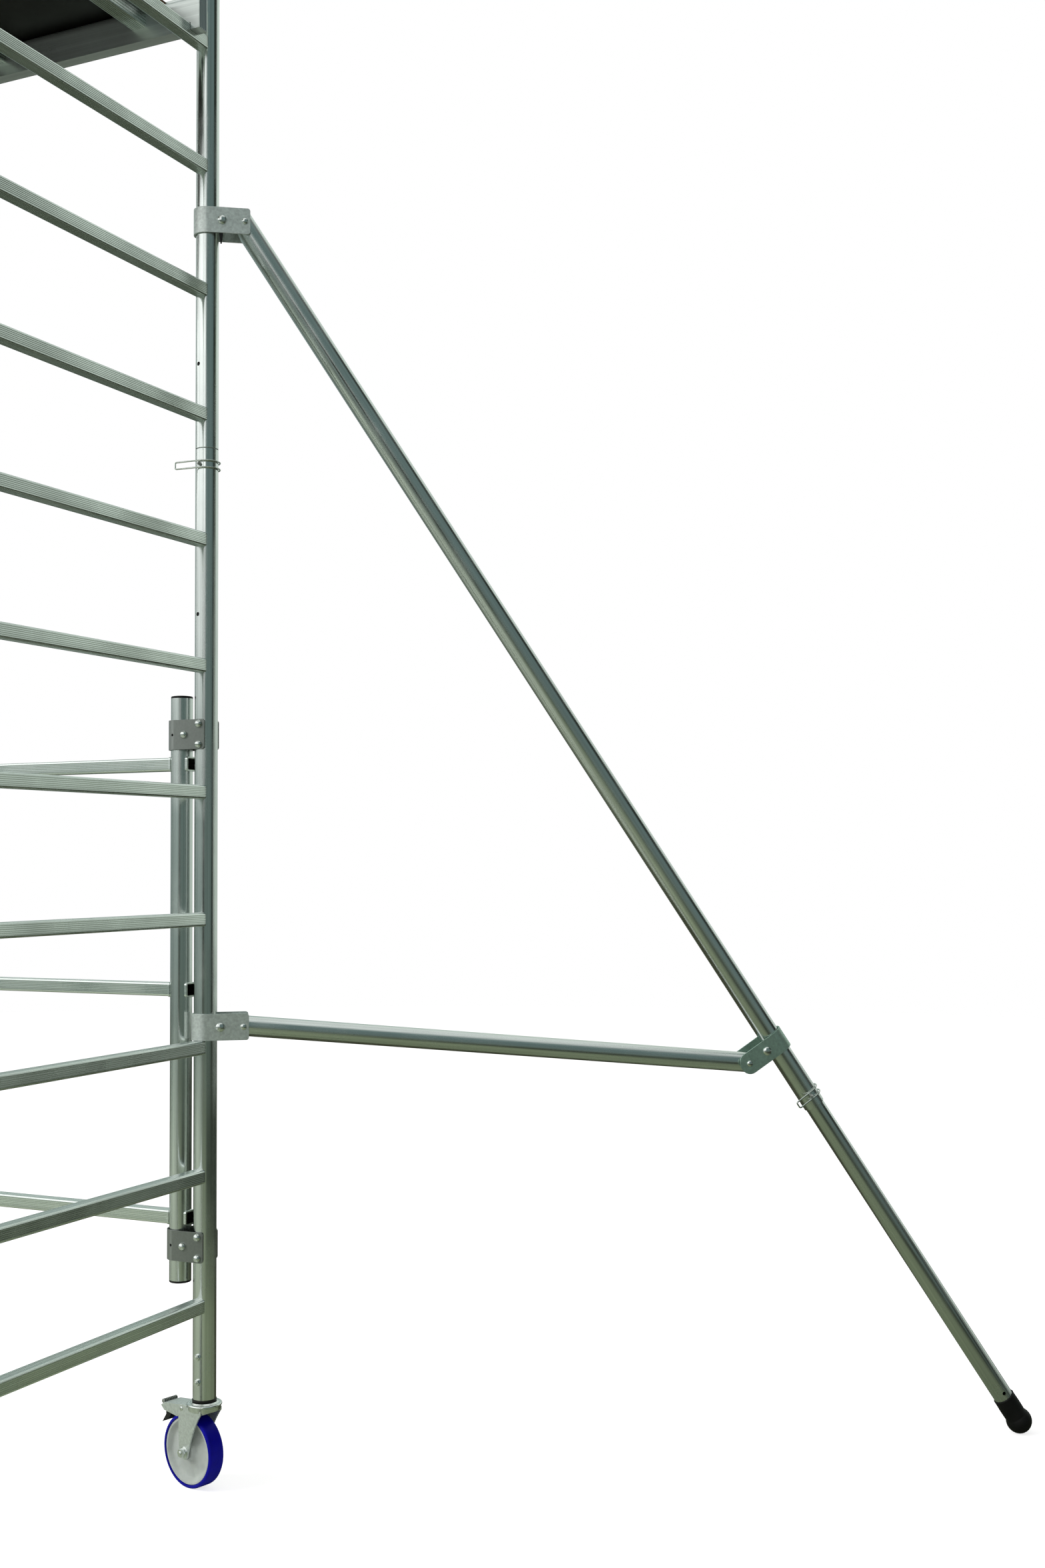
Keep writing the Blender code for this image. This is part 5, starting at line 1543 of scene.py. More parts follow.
@dataclass
class Castor:
    """A castor under an upright: stem ring, swivel fork, wheel and brake pedal."""

    datum: Datum
    side: Side
    row: Row
    turn: float = -15.0
    wheel_radius: float = 0.080
    tyre_width: float = 0.040
    tyre_depth: float = 0.008
    rim_width: float = 0.036
    shoulder: float = 0.006
    hub_radius: float = 0.020
    hub_width: float = 0.040
    inner_width: float = 0.047
    sheet: float = 0.004
    eye: float = 0.0165
    strip_rear: float = 0.056
    strip_front: float = 0.027
    strip_top: float = 0.182
    crown_front: float = 0.022
    wing_splay: float = 0.06
    wing_bend: Point = (-0.010, 0.130)
    wing_foot: Point = (-0.0237, 0.0704)
    crown_z: float = 0.174
    head_radius: float = 0.0385
    head_top: float = 0.1920
    ring_radius: float = 0.0268
    ring_height: float = 0.0054
    ring_edge: Point = (0.001, 0.0012)
    plug_length: float = 0.1
    plug_edge: float = 0.002
    plug_gap: float = 0.0003
    gap: float = 0.0002
    neck_radius: float = 0.008
    neck_sunk: float = 0.006
    swivel_nut: Point = (0.013, 0.008)
    bore: float = 0.0092
    lip: float = 0.0034
    sheet_edge: float = 0.0008
    crown_edge: float = 0.0012
    lap: float = 0.0004
    axle_radius: float = 0.006
    axle_washer: Point = (0.0012, 0.0125)
    axle_nut: Point = (0.0098, 0.0050)
    spacer_radius: float = 0.0095
    pin_radius: float = 0.003
    pin_head: Point = (0.0052, 0.0024)
    hub_bore: float = 0.0068
    core_sides: int = 64
    tyre_sides: int = 96
    dish: tuple[Point, ...] = ((0.036, 0.0098), (0.050, 0.0078), (0.0565, 0.0080), (0.0605, 0.0100),
                               (0.0632, 0.0140))
    pedal_width: float = 0.045
    pedal_sheet: float = 0.0018
    pedal_edge: float = 0.0005
    pad_ribs: int = 9
    pad_inset: float = 0.003
    pad_place: Point = (-0.0735, 0.0005)
    pad_ribbing: tuple[Point, ...] = ((0.0040, 0.1), (0.0047, 0.3), (0.0047, 0.7), (0.0040, 0.9))
    pivot_radius: float = 0.0062
    barrel: Point = (0.0058, 0.001)

    @property
    def name(self) -> str:
        """The castor's name in the frame."""
        return f"castor_{self.row.word}_{self.side.word}"

    @property
    def foot(self) -> Matrix:
        """The castor's swivel frame, X forwards."""
        return (self.datum.tower @ Matrix.Translation(self.datum.upright(self.side, self.row))
                @ Matrix.Rotation(math.radians(self.turn), 4, "Z"))

    @property
    def trail(self) -> float:
        """How far the axle is behind the swivel's axis."""
        joints = (self.datum.joints[f"{self.name}_{word}"] for word in ("swivel", "roll"))
        swivel, roll = (Vector(joint["pos_m"]) for joint in joints)
        return (roll - swivel).xy.length

    @property
    def axle(self) -> Matrix:
        """The wheel's frame, with Z along the axle."""
        return self.foot @ facing((-self.trail, 0, self.wheel_radius), (0, 1, 0))

    def build(self) -> None:
        """Build the stem, the fork, the wheel and the pedal."""
        self.build_stem()
        self.build_fork()
        self.build_wheel()
        self.build_pedal()

    def build_stem(self) -> None:
        """The black ring under the upright, with the plug in it and the swivel's nut below."""
        piece = Piece(f"{self.name}_ring")
        top = UPRIGHT_FOOT - self.gap
        low, high, foot = top - self.ring_height, top + self.plug_length, self.crown_z - self.neck_sunk
        plug, neck, rim = UPRIGHT_RADIUS - TUBE_WALL - self.plug_gap, self.neck_radius, self.ring_radius
        side, rise = self.ring_edge
        profile = [(0.0, high), (plug - self.plug_edge, high), (plug, high - self.plug_edge), (plug, top),
                   (rim - side, top), (rim, top - rise), (rim, low + rise), (rim - side, low), (neck, low),
                   (neck, foot), (0.0, foot)]
        piece.add(lathe(profile), BLACK, self.foot)
        under = self.foot @ facing((0, 0, self.crown_z - self.lap), (0, 0, -1))
        piece.add(hexagon(*self.swivel_nut), DARK_ZINC, under)
        piece.set_down("tower", "black", f"{self.name}_stem")

    def head(self) -> Mesh:
        """The turned swivel head: a polished race with a rounded lip over a smaller plate."""
        radius, top, low = self.head_radius, self.head_top, self.crown_z
        lip = arc((radius - self.lip, top - 0.0062), self.lip, 80, -80, HOOP_STEPS)
        profile = [(self.bore, low), (radius - 0.0036, low), (radius - 0.0030, low + 0.0012),
                   (radius - 0.0030, top - 0.0098), *reversed(lip), (radius - 0.0068, top - 0.0030),
                   (radius - 0.0084, top - 0.0016), (radius - 0.0100, top - self.gap),
                   (self.bore, top - self.gap)]
        return lathe(profile, ROUND, True)

    def leg_shapes(self, row: Row) -> list[Mesh]:
        """One leg of the fork: a flat strip, and a wing from the crown that stands out a little."""
        eye = (-self.trail, self.wheel_radius)
        start = -math.degrees(math.acos((self.trail - self.strip_front) / self.eye))
        rear, front, top = -self.strip_rear, -self.strip_front, self.strip_top
        strip = [(rear, top - 0.003), (rear + 0.002, top - 0.001), (front, top), (front, self.wheel_radius),
                 *arc(eye, self.eye, start, -180, HOOP_STEPS)]
        corner = (self.crown_front, self.crown_z - self.sheet)
        root = front - self.lap
        wing = [(root, self.crown_z + self.sheet), (self.crown_front, self.crown_z + self.sheet)]
        for step in range(HOOP_STEPS + 1):
            t = step / HOOP_STEPS
            wing.append(tuple((1 - t) ** 2 * a + 2 * t * (1 - t) * b + t * t * c
                              for a, b, c in zip(corner, self.wing_bend, self.wing_foot)))
        wing.append((root, self.wing_foot[1] - self.sheet))
        out = row.value
        y = out * self.inner_width / 2
        shapes = []
        for outline, splay in ((strip, 0.0), (wing, self.wing_splay)):
            shape = soften(prism(outline, self.sheet), self.sheet_edge)
            shape.transform(Matrix(((1, 0, 0, 0), (0, 0, out, 0), (0, 1, 0, 0), (0, 0, 0, 1))))
            for vertex in shape.verts:
                vertex.co.y += y + out * splay * max(0.0, vertex.co.x + self.strip_front)
            shapes.append(shape)
        return shapes

    def build_fork(self) -> None:
        """The swivelling fork with its head, axle bolt and pedal pin."""
        piece = Piece(f"{self.name}_fork_sheet")
        piece.add(self.head(), BRIGHT, self.foot)
        half = self.inner_width / 2 + self.sheet / 2
        front, low, high = self.crown_front, self.crown_z, self.crown_z + self.sheet
        crown = (-self.strip_front - 0.002, -half, low), (front + 0.002, half, high)
        apron = (front - 0.0015, -half, low - self.sheet), (front + 0.0025, half, high + 0.002)
        for corners in (crown, apron):
            piece.add(box(*corners, self.crown_edge), ZINC, self.foot)
        pedal = Vector(self.datum.joints[f"{self.name}_brake"]["pos_m"])
        outer = self.inner_width / 2 + self.sheet
        for row in Row:
            for shape in self.leg_shapes(row):
                piece.add(shape, ZINC, self.foot)
            out = self.foot.to_3x3() @ Vector((0, row.value, 0))
            axle = self.foot @ Vector((-self.trail, row.value * outer, self.wheel_radius))
            piece.add(rod(*self.axle_washer), BRIGHT, facing(axle, out))
            add_nut(piece, facing(axle + out * self.axle_washer[0], out), *self.axle_nut)
            piece.add(dome(*self.pin_head), BRIGHT, facing(pedal + out * (outer - self.gap), out))
            spacer = rod((self.inner_width - self.hub_width) / 2 - self.lap, self.spacer_radius)
            piece.add(spacer, DARK_ZINC, facing(axle - out * self.sheet, -out))
        start = facing((-self.trail, -outer, self.wheel_radius), (0, 1, 0))
        piece.add(rod(2 * outer, self.axle_radius), BRIGHT, self.foot @ start)
        across = self.foot.to_3x3() @ Vector((0, 1, 0))
        piece.add(rod(2 * outer, self.pin_radius), BRIGHT, facing(pedal - across * outer, across))
        piece.set_down(f"{self.name}_swivel", "zinc", f"{self.name}_fork")

    def build_wheel(self) -> None:
        """The dished core and the tyre round it."""
        core, tyre = Piece(f"{self.name}_core"), Piece(f"{self.name}_tread")
        seat = self.wheel_radius - self.tyre_depth
        half, hub, face = self.rim_width / 2, self.hub_radius, self.hub_width / 2
        side: Loop = [(self.hub_bore, face), (hub - 0.0035, face),
                      *arc((hub - 0.0035, face - 0.003), 0.003, 80, 0, CORNER_STEPS),
                      (hub + 0.0008, 0.0150), (hub + 0.004, 0.0122), *self.dish, (0.0652, half - 0.0022),
                      (0.0668, half - 0.0004), (0.0690, half), (seat - 0.0012, half),
                      (seat - 0.0002, half - 0.0012)]
        ring = [*side, *((r, -h) for r, h in reversed(side))]
        core.add(lathe(ring, self.core_sides, True), CORE, self.axle)
        core.set_down(f"{self.name}_wheel", "core", f"{self.name}_wheel_core")
        flank = self.tyre_width / 2
        centre = (self.wheel_radius - self.shoulder, flank - self.shoulder)
        tread = [(seat, flank - 0.0016), (seat + 0.0012, flank),
                 *arc(centre, self.shoulder, 90, 6, DOME_STEPS)]
        profile = [*tread, (self.wheel_radius, 0.0), *((r, -h) for r, h in reversed(tread))]
        tyre.add(lathe(profile, self.tyre_sides, True), TYRE, self.axle)
        tyre.set_down(f"{self.name}_wheel", "blue", f"{self.name}_tyre")

    def build_pedal(self) -> None:
        """The folded brake pedal: cheeks, top plate, ribbed pad and a black toe below."""
        piece = Piece(f"{self.name}_pedal_sheet")
        pivot = Vector(self.datum.joints[f"{self.name}_brake"]["pos_m"])
        frame = Matrix.Translation(pivot) @ self.foot.to_3x3().to_4x4()
        half, sheet = self.pedal_width / 2, self.pedal_sheet
        cheek = [(0.0062, 0.0055), (-0.020, 0.0050), (-0.064, 0.0006), (-0.0765, -0.0070), (-0.066, -0.0165),
                 (-0.045, -0.0190), (-0.021, -0.0220), (-0.008, -0.0120),
                 *arc((0, 0), self.pivot_radius, -100, 0, STRAP_STEPS)]
        plate = [(0.004, 0.0053), (-0.020, 0.0050), (-0.064, 0.0006), (-0.0760, -0.0066), (-0.0745, -0.0084),
                 (-0.0630, -0.0014), (-0.020, 0.0030), (0.004, 0.0033)]
        toe = [(-0.052, -0.012), (-0.066, -0.010), (-0.066, -0.027), (-0.0795, -0.046), (-0.058, -0.036),
               (-0.050, -0.026)]
        upright = Matrix(((1, 0, 0, 0), (0, 0, -1, 0), (0, 1, 0, 0), (0, 0, 0, 1)))
        for outline, width, y, finish in ((cheek, sheet, half, ZINC), (cheek, sheet, -half + sheet, ZINC),
                                          (plate, 2 * half - 0.0006, half - 0.0003, ZINC),
                                          (toe, 2 * half - 0.012, half - 0.006, BLACK)):
            place = frame @ moved(0, y, 0) @ upright
            piece.add(soften(prism(outline, width), self.pedal_edge), finish, place)
        end = half - self.pad_inset
        step = 2 * end / self.pad_ribs
        pad: Loop = [(0.0, -end)]
        for number in range(self.pad_ribs):
            pad += [(radius, -end + step * (number + share)) for radius, share in self.pad_ribbing]
        pad.append((0.0, end))
        x, z = self.pad_place
        piece.add(lathe(pad, SMALL_ROUND), DARK_ZINC, frame @ facing((x, 0.0, z), (0, 1, 0)))
        radius, inset = self.barrel
        start = frame @ facing((0, inset - half, 0), (0, 1, 0))
        piece.add(rod(2 * (half - inset), radius), DARK_ZINC, start)
        piece.set_down(f"{self.name}_pedal", "zinc", f"{self.name}_brake_pedal")


@dataclass
class Stabiliser:
    """A stabiliser on a far upright: leg, extension, foot, brace, straps and lock bow."""

    datum: Datum
    side: Side
    strap_inner: float = 0.0266
    strap_sheet: float = 0.004
    strap_height: float = 0.058
    strap_end: float = 0.012
    strap_corner: float = 0.006
    slider_height: float = 0.050
    slider_end: float = 0.022
    slider_corner: float = 0.022
    pivot_reach: float = 0.082
    clamp_bolt: float = 0.0318
    clamp_head: float = 0.0105
    pivot_head: float = 0.0073
    bolt_radius: float = 0.005
    leg_radius: float = 0.0254
    leg_past_pivot: float = 0.025
    slider_along: float = 2.225
    pin_above_end: float = 0.030
    extension_radius: float = 0.0230
    extension_inside: float = 0.560
    brace_radius: float = 0.0228
    brace_past_pivot: float = 0.024
    bow_finger: float = 0.040
    foot_z: float = 0.0302
    socket_radius: float = 0.0265
    socket_length: float = 0.070
    foot_hole: float = 0.086
    hole_radius: float = 0.0043

    def __post_init__(self) -> None:
        """Take the leg's line and the straps' heights from the frame."""
        axis = Vector(self.datum.joints[f"{self.name}_slide"]["axis"])
        self.turn = math.atan2(axis.y, axis.x)
        self.down = Vector((math.hypot(axis.x, axis.y), 0.0, axis.z))
        self.top_z = self.strap_middle("top")
        self.bottom_z = self.strap_middle("bottom")
        self.front = -self.side.value
        self.full = (self.top_z - self.foot_z) / -self.down.z
        eye = self.place.inverted() @ Vector(self.datum.joints[f"{self.name}_lock_bow_swing"]["pos_m"])
        self.length = (eye - self.on_leg(0.0)).dot(self.down) + self.pin_above_end

    @property
    def name(self) -> str:
        """The stabiliser's name in the frame."""
        return f"stabiliser_{self.side.word}"

    @property
    def place(self) -> Matrix:
        """The stabiliser's frame: Z up its upright, X out along its plane."""
        foot = self.datum.upright(self.side, Row.FAR)
        return self.datum.tower @ Matrix.Translation(foot) @ Matrix.Rotation(self.turn, 4, "Z")

    def strap_middle(self, word: str) -> float:
        """The height of a strap's middle."""
        low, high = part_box(f"{self.name}_{word}_strap")
        return (low.z + high.z) / 2

    def on_leg(self, distance: float) -> Vector:
        """A point on the leg's axis, down from its top pivot."""
        return Vector((self.pivot_reach, 0.0, self.top_z)) + self.down * distance

    def slider_frame(self) -> Matrix:
        """The slider strap's frame: Z up the leg, X square to it towards the tower."""
        up = -self.down
        square = Vector((-up.z, 0.0, up.x))
        turn = Matrix((square, up.cross(square), up)).transposed().to_4x4()
        return Matrix.Translation(self.on_leg(self.slider_along)) @ turn

    def build(self) -> None:
        """Build every piece of the stabiliser."""
        self.build_strap("top", moved(0, 0, self.top_z), ZINC)
        self.build_strap("bottom", moved(0, 0, self.bottom_z), ZINC)
        self.build_strap("slider", self.slider_frame(), GREEN_ZINC)
        self.build_tubes()
        self.build_extension()
        self.build_bow()

    def build_strap(self, word: str, frame: Matrix, finish: Finish) -> None:
        """A clamp strap with its clamp bolt and pivot bolt."""
        piece = Piece(f"{self.name}_{word}_strap_sheet")
        slider = word == "slider"
        height, end = (self.slider_height, self.slider_end) if slider else (self.strap_height, self.strap_end)
        corner = self.slider_corner if slider else self.strap_corner
        place = self.place @ frame
        strap = u_strap(self.strap_inner, self.strap_sheet, self.pivot_reach + end, height, corner)
        piece.add(strap, finish, place)
        half = self.strap_inner + self.strap_sheet
        side = -self.front if slider else self.front
        add_bolt(piece, place, (self.clamp_bolt, 0.0), half, self.bolt_radius, self.clamp_head, side)
        add_bolt(piece, place, (self.pivot_reach, 0.0), half, self.bolt_radius, self.pivot_head, side)
        if word == "top":
            self.add_tongue(piece, place, height)
        piece.set_down(self.name, "green_zinc" if slider else "zinc", f"{self.name}_{word}_strap")

    def add_tongue(self, piece: Piece, place: Matrix, height: float) -> None:
        """Add the black tongue of the liner that hangs below the top strap."""
        outline = [(-0.005, 0.012), (0.005, 0.012), (0.0036, -0.008), (0.0014, -0.023), (-0.0014, -0.023),
                   (-0.0036, -0.008)]
        shape = soften(prism(outline, 0.005), 0.0008)
        turn = Matrix(((1, 0, 0, 0), (0, 0, -1, 0), (0, 1, 0, 0), (0, 0, 0, 1)))
        at = moved(self.clamp_bolt - 0.002, self.front * 0.022, -height / 2)
        piece.add(shape, BLACK, place @ at @ turn)

    def build_tubes(self) -> None:
        """The leg tube with its lock pin, and the brace tube."""
        leg = Piece(f"{self.name}_leg")
        start = self.on_leg(-self.leg_past_pivot)
        shape = tube(self.length + self.leg_past_pivot, self.leg_radius)
        leg.add(shape, POLISHED, self.place @ facing(start, self.down))
        pin = Piece(f"{self.name}_leg_pin")
        middle = self.on_leg(self.length - self.pin_above_end)
        add_lock_pin(pin, self.place @ facing(middle, (0, -self.front, 0)), self.leg_radius)
        leg.set_down(self.name, "aluminium", f"{self.name}_leg_tube")
        pin.set_down(self.name, "zinc")
        brace = Piece(f"{self.name}_brace")
        first = Vector((self.pivot_reach, 0.0, self.bottom_z))
        last = self.slider_frame() @ Vector((self.pivot_reach, 0.0, 0.0))
        run = (last - first).normalized()
        length = (last - first).length + 2 * self.brace_past_pivot
        start = first - run * self.brace_past_pivot
        brace.add(tube(length, self.brace_radius), POLISHED, self.place @ facing(start, run))
        brace.set_down(self.name, "aluminium", f"{self.name}_brace_tube")

    def build_extension(self) -> None:
        """The inner leg tube with its hole, and the rubber foot on its end."""
        inner, foot = Piece(f"{self.name}_inner_leg"), Piece(f"{self.name}_rubber_foot")
        top = self.length - self.extension_inside
        length = self.full - self.foot_z - top
        place = self.place @ facing(self.on_leg(top), self.down)
        turned = place.to_3x3().inverted() @ self.place.to_3x3() @ Vector((0, self.front, 0))
        drill = rod(self.extension_radius * 2, self.hole_radius, SMALL_ROUND, TINY)
        drill.transform(facing((0, 0, self.full - self.foot_hole - top), turned))
        inner.add(cut(tube(length, self.extension_radius), [drill]), POLISHED, place)
        inner.set_down(f"{self.name}_extension", "aluminium", f"{self.name}_leg_extension")
        ball, wide, narrow, top = self.foot_z, self.socket_radius, self.extension_radius, self.socket_length
        waist = math.degrees(math.acos((wide - 0.001) / ball))
        profile = [(0.0, top - 0.002), (narrow + 0.0002, top - 0.002), (narrow + 0.0006, top),
                   (wide - 0.0016, top), (wide - 0.0008, top - 0.0010), (wide - 0.0012, top - 0.004),
                   (wide - 0.0006, top * 0.6), *arc((0, 0), ball, waist, -86, 20), (0.0, -ball)]
        foot.add(lathe(profile), RUBBER, self.place @ facing(self.on_leg(self.full), -self.down))
        foot.set_down(f"{self.name}_extension", "rubber", f"{self.name}_foot")

    def build_bow(self) -> None:
        """The wire bow of the leg's lock pin."""
        piece = Piece(f"{self.name}_leg_bow")
        bow = LockBow()
        pin = self.on_leg(self.length - self.pin_above_end)
        eye = pin - Vector((0, self.front * bow.eye(self.leg_radius), 0))
        up = -self.down
        lean = Matrix((Vector((0, 1, 0)).cross(up), Vector((0, 1, 0)), up)).transposed().to_4x4()
        place = self.place @ Matrix.Translation(eye) @ lean
        piece.add(bow.shape(self.leg_radius, self.bow_finger, -self.front, 1), WIRE, place)
        piece.set_down(f"{self.name}_lock_bow", "wire", f"{self.name}_lock_bow")


@dataclass
class FrameBows:
    """The wire bows of the lock pins at the joints of the ladder frames."""

    datum: Datum
    finger: float = 0.062

    def build(self) -> None:
        """Build the four bows."""
        bow = LockBow()
        for side in Side:
            for row in Row:
                name = f"frame_lock_bow_{row.word}_{side.word}"
                eye = self.datum.upright(side, row) + Vector((0, row.value * bow.eye(UPRIGHT_RADIUS),
                                                              JOINT_Z - PIN_BELOW_JOINT))
                piece = Piece(f"{name}_wire")
                shape = bow.shape(UPRIGHT_RADIUS, self.finger, row.value, side.value)
                piece.add(shape, WIRE, self.datum.tower @ Matrix.Translation(eye))
                piece.set_down(name, "wire", name)


@dataclass
class PhotoCamera:
    """A camera at the photograph's viewing angle, placed from the far right upright."""

    datum: Datum
    from_upright: Point = (2.2191, -3.1516)
    height: float = 1.3613
    yaw: float = VIEW_YAW
    pitch: float = 2.308
    roll: float = -0.272
    lens: float = 39.341
    sensor: float = 36.0
    shift_up: float = 0.00612

    def build(self) -> None:
        """Place the camera and make it the scene's own."""
        data = bpy.data.cameras.new("photo_camera")
        data.sensor_fit = "AUTO"
        data.sensor_width = self.sensor
        data.lens = self.lens
        data.shift_y = self.shift_up
        camera = bpy.data.objects.new("photo_camera", data)
        upright = self.datum.tower @ self.datum.upright(Side.RIGHT, Row.FAR)
        camera.location = upright + Vector((*self.from_upright, self.height))
        turns = ((self.yaw, "Z"), (90 + self.pitch, "X"), (self.roll, "Z"))
        yaw, pitch, roll = (Matrix.Rotation(math.radians(angle), 3, axis) for angle, axis in turns)
        camera.rotation_euler = (yaw @ pitch @ roll).to_euler()
        bpy.context.scene.collection.objects.link(camera)
        bpy.context.scene.camera = camera
        bpy.context.scene.view_settings.view_transform = "Standard"
        LOG.info("camera at %s", tuple(round(value, 3) for value in camera.location))


@dataclass
class Studio:
    """A plain pale floor, a white backdrop and soft light, with grey panels that the metal mirrors."""

    corner: Vector
    floor_radius: float = 12.0
    floor_roughness: float = 0.9
    floor_colour: Colour = (0.80, 0.80, 0.79)
    floor_lift: float = 0.74
    light: float = 0.36
    near_ring: Point = (1.5, 2.8)
    far_ring: Point = (4.6, 7.0)
    high_band: Point = (0.05, 0.19)
    roof_band: Point = (0.72, 0.92)
    roof: Colour = (0.80, 0.84, 0.82)
    lamp_target: float = 1.6

    def build(self) -> None:
        """Build the floor, the lamps and the world."""
        self.build_floor()
        self.build_world()
        self.build_lamp("key", (-4.5, -5.0, 5.0), 4.0, 380.0)
        self.build_lamp("fill", (5.0, -3.0, 4.0), 5.0, 20.0)

    def build_floor(self) -> None:
        """The floor, white to the camera where no shadow falls on it."""
        bm = bmesh.new()
        bmesh.ops.create_circle(bm, cap_ends=True, segments=64, radius=self.floor_radius)
        mesh = bpy.data.meshes.new("floor")
        bm.to_mesh(mesh)
        bm.free()
        floor = bpy.data.objects.new("floor", mesh)
        made = bpy.data.materials.new("pale_floor")
        made.use_nodes = True
        graph = Graph(made.node_tree)
        shader = made.node_tree.nodes["Principled BSDF"]
        path = graph.add("ShaderNodeLightPath")
        place = graph.add("ShaderNodeNewGeometry").outputs["Position"]
        apart = graph.add("ShaderNodeVectorMath", {0: place, 1: tuple(self.corner)}, operation="SUBTRACT")
        away = apart.outputs[0]
        share = self.bearing_share(graph, away)
        length = graph.add("ShaderNodeVectorMath", {0: away}, operation="LENGTH").outputs["Value"]
        inner = graph.mix(graph.spread(length, *self.near_ring, 0.0, 1.0),
                          graph.ramp(share, self.near_mirrored()), graph.ramp(share, self.middle_mirrored()))
        mirrored = graph.mix(graph.spread(length, *self.far_ring, 0.0, 1.0),
                             inner, graph.ramp(share, self.far_mirrored()))
        colour = graph.mix(path.outputs["Is Glossy Ray"], self.floor_colour, mirrored)
        graph.link(colour, shader, "Base Color")
        shader.inputs["Roughness"].default_value = self.floor_roughness
        shader.inputs["Specular IOR Level"].default_value = 0.0
        shader.inputs["Emission Color"].default_value = (1.0, 1.0, 1.0, 1.0)
        lift = graph.math("MULTIPLY", path.outputs["Is Camera Ray"], self.floor_lift)
        graph.link(lift, shader, "Emission Strength")
        mesh.materials.append(made)
        bpy.context.scene.collection.objects.link(floor)

    def build_world(self) -> None:
        """White to the camera, panels by direction to mirrored rays, and even light to all others."""
        world = bpy.data.worlds.new("studio")
        world.use_nodes = True
        bpy.context.scene.world = world
        graph = Graph(world.node_tree)
        shader = world.node_tree.nodes["Background"]
        direction = graph.add("ShaderNodeTexCoord").outputs["Generated"]
        axes = graph.add("ShaderNodeSeparateXYZ", {0: direction})
        share = self.bearing_share(graph, direction)
        panels = graph.mix(graph.spread(axes.outputs[2], *self.high_band, 0.0, 1.0),
                           graph.ramp(share, self.low_panels()), graph.ramp(share, self.high_panels()))
        roofed = graph.mix(graph.spread(axes.outputs[2], *self.roof_band, 0.0, 1.0), panels, self.roof)
        path = graph.add("ShaderNodeLightPath")
        mirrored = graph.mix(path.outputs["Is Glossy Ray"], graph.ramp(share, self.soft_light()), roofed)
        seen = graph.math("MAXIMUM", path.outputs["Is Camera Ray"], path.outputs["Is Transmission Ray"])
        graph.link(graph.mix(seen, mirrored, (1.0, 1.0, 1.0)), shader, "Color")

    def bearing_share(self, graph: Graph, direction: Socket) -> Socket:
        """The socket of a ramp's place for a direction."""
        axes = graph.add("ShaderNodeSeparateXYZ", {0: direction})
        bearing = graph.math("ARCTAN2", axes.outputs[1], axes.outputs[0])
        turned = graph.math("ADD", bearing, math.radians(90.0 - VIEW_YAW))
        return graph.spread(graph.math("WRAP", turned, math.pi, -math.pi), -math.pi, math.pi, 0.0, 1.0)

    @staticmethod
    def stops(*bearings: tuple[float, Colour]) -> Stops:
        """A ramp's stops from bearings in degrees, 0 behind the camera and positive to its right."""
        return [((angle + 180.0) / 360.0, colour) for angle, colour in bearings]

    def high_panels(self) -> Stops:
        """The panels round the tower above eye height."""
        grey, white = (0.46, 0.55, 0.52), (1.35, 1.38, 1.36)
        blue, dark, pale = (0.13, 0.185, 0.18), (0.02, 0.025, 0.02), (0.68, 0.76, 0.70)
        return self.stops((-180, grey), (-135, grey), (-124, dark), (-114, white), (-7, white), (0, blue),
                          (68, blue), (78, dark), (106, dark), (117, pale), (180, pale))

    def low_panels(self) -> Stops:
        """The panels round the tower near eye height."""
        grey, pale = (0.22, 0.28, 0.27), (0.25, 0.31, 0.29)
        blue, dark, right = (0.13, 0.175, 0.16), (0.02, 0.025, 0.02), (0.54, 0.61, 0.55)
        return self.stops((-180, grey), (-140, grey), (-110, pale), (-24, pale), (-17, dark), (-8, dark),
                          (-2, blue), (60, blue), (70, dark), (82, dark), (93, right), (180, right))

    def near_mirrored(self) -> Stops:
        """The floor close to the tower, as the metal mirrors it."""
        light, bright, olive = (0.56, 0.63, 0.48), (0.58, 0.67, 0.48), (0.36, 0.43, 0.275)
        dark, line = (0.105, 0.113, 0.07), (0.05, 0.055, 0.035)
        return self.stops((-180, dark), (-140, dark), (-115, light), (-25, light), (-20, line), (-17, line),
                          (-12, bright), (14, olive), (112, olive), (126, dark), (180, dark))

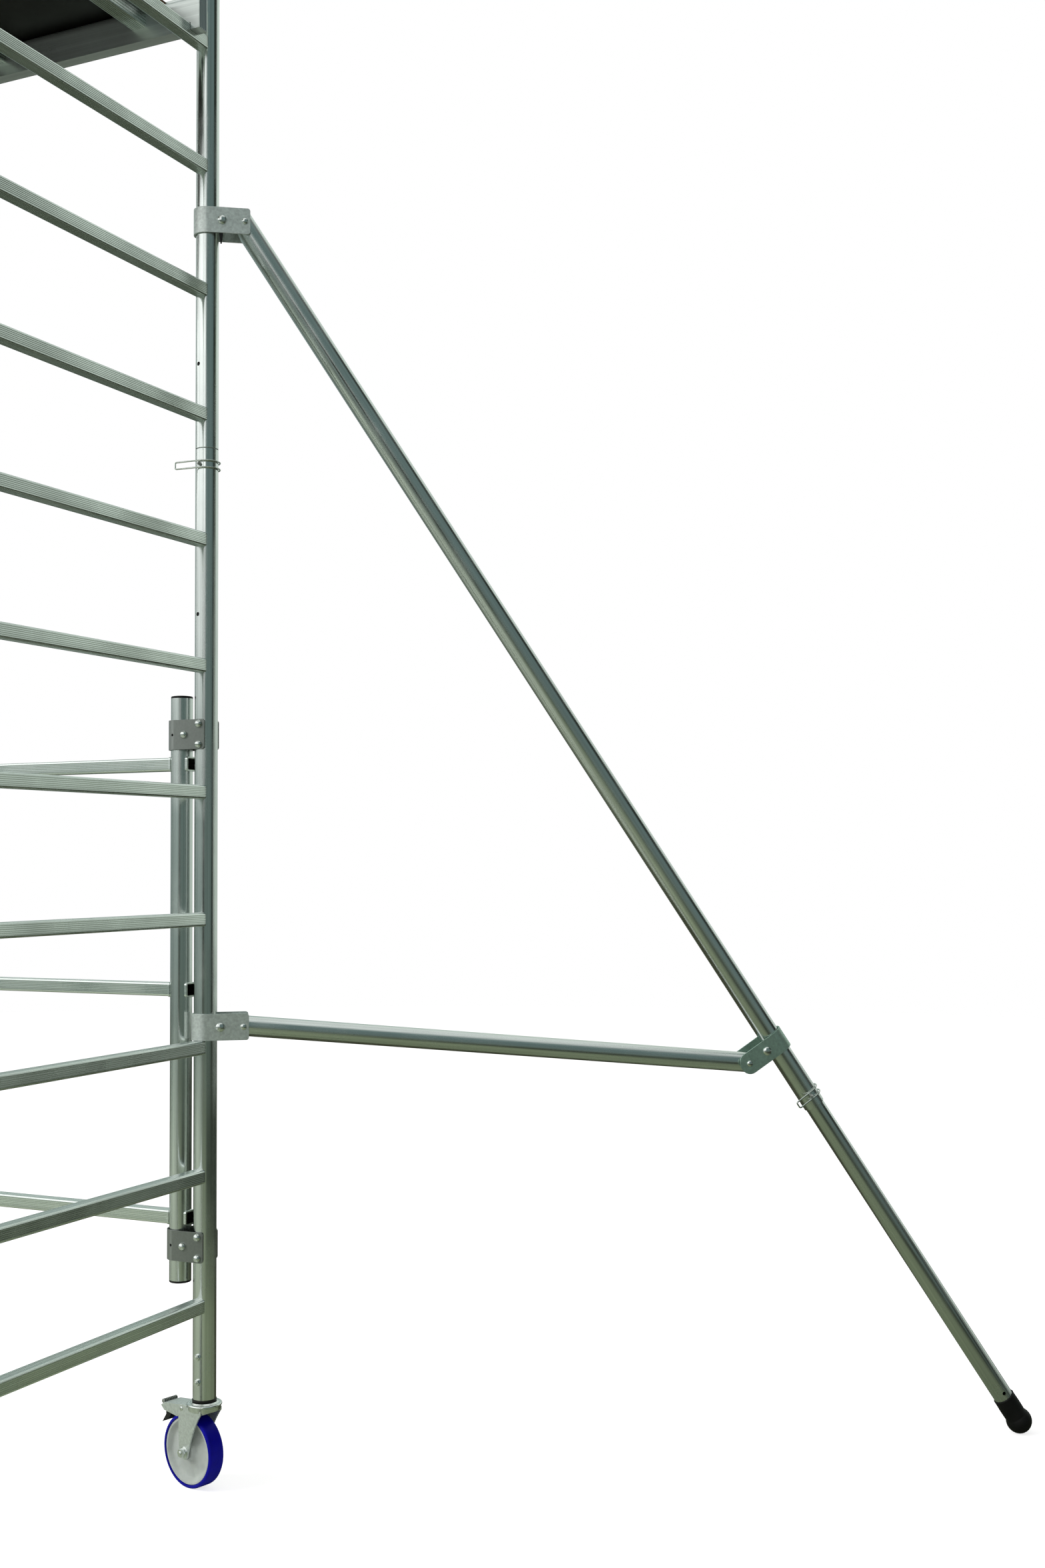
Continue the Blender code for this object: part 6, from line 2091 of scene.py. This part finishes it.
    def middle_mirrored(self) -> Stops:
        """The floor a few steps off, as the metal mirrors it."""
        light, olive = (0.48, 0.54, 0.44), (0.33, 0.39, 0.27)
        dark, ahead = (0.07, 0.086, 0.064), (0.17, 0.20, 0.14)
        return self.stops((-180, ahead), (-150, ahead), (-120, light), (-30, light), (-8, olive), (10, olive),
                          (28, dark), (140, dark), (165, ahead), (180, ahead))

    def far_mirrored(self) -> Stops:
        """The floor further off, as the metal mirrors it."""
        light, olive = (0.30, 0.36, 0.31), (0.23, 0.29, 0.215)
        dark, ahead = (0.075, 0.083, 0.058), (0.21, 0.25, 0.18)
        return self.stops((-180, ahead), (-150, ahead), (-120, light), (-20, light), (-4, olive), (46, olive),
                          (80, dark), (140, dark), (165, ahead), (180, ahead))

    def soft_light(self) -> Stops:
        """The light on dull surfaces, stronger from the camera's left than from its right."""
        even, left, right = ((share * self.light,) * 3 for share in (1.0, 1.45, 0.5))
        return self.stops((-180, even), (-80, left), (0, even), (85, right), (180, even))

    def build_lamp(self, name: str, place: tuple, size: float, power: float) -> None:
        """A large soft lamp that looks at the tower's middle."""
        data = bpy.data.lights.new(name, "AREA")
        data.size = size
        data.energy = power
        lamp = bpy.data.objects.new(name, data)
        lamp.location = place
        aim = Vector((0.0, 0.0, self.lamp_target)) - Vector(place)
        lamp.rotation_euler = aim.to_track_quat("-Z", "Y").to_euler()
        lamp.visible_glossy = False
        bpy.context.scene.collection.objects.link(lamp)


def main() -> None:
    """Build the tower's looks in order."""
    logging.basicConfig(level=logging.INFO, format="%(message)s")
    for thing in list(bpy.data.objects):
        bpy.data.objects.remove(thing, do_unlink=True)
    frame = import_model()
    datum = Datum.of(frame)
    PhotoCamera(datum).build()
    Studio(datum.tower @ datum.upright(Side.RIGHT, Row.FAR)).build()
    for side in Side:
        for upper in (False, True):
            LadderFrame(datum, side, upper).build()
    SideGate(datum).build()
    Platform(datum).build()
    FrameBows(datum).build()
    for row in Row:
        GuardRail(datum, row).build()
        for side in Side:
            Castor(datum, side, row).build()
    for side in Side:
        Stabiliser(datum, side).build()


if __name__ == "__main__":
    main()
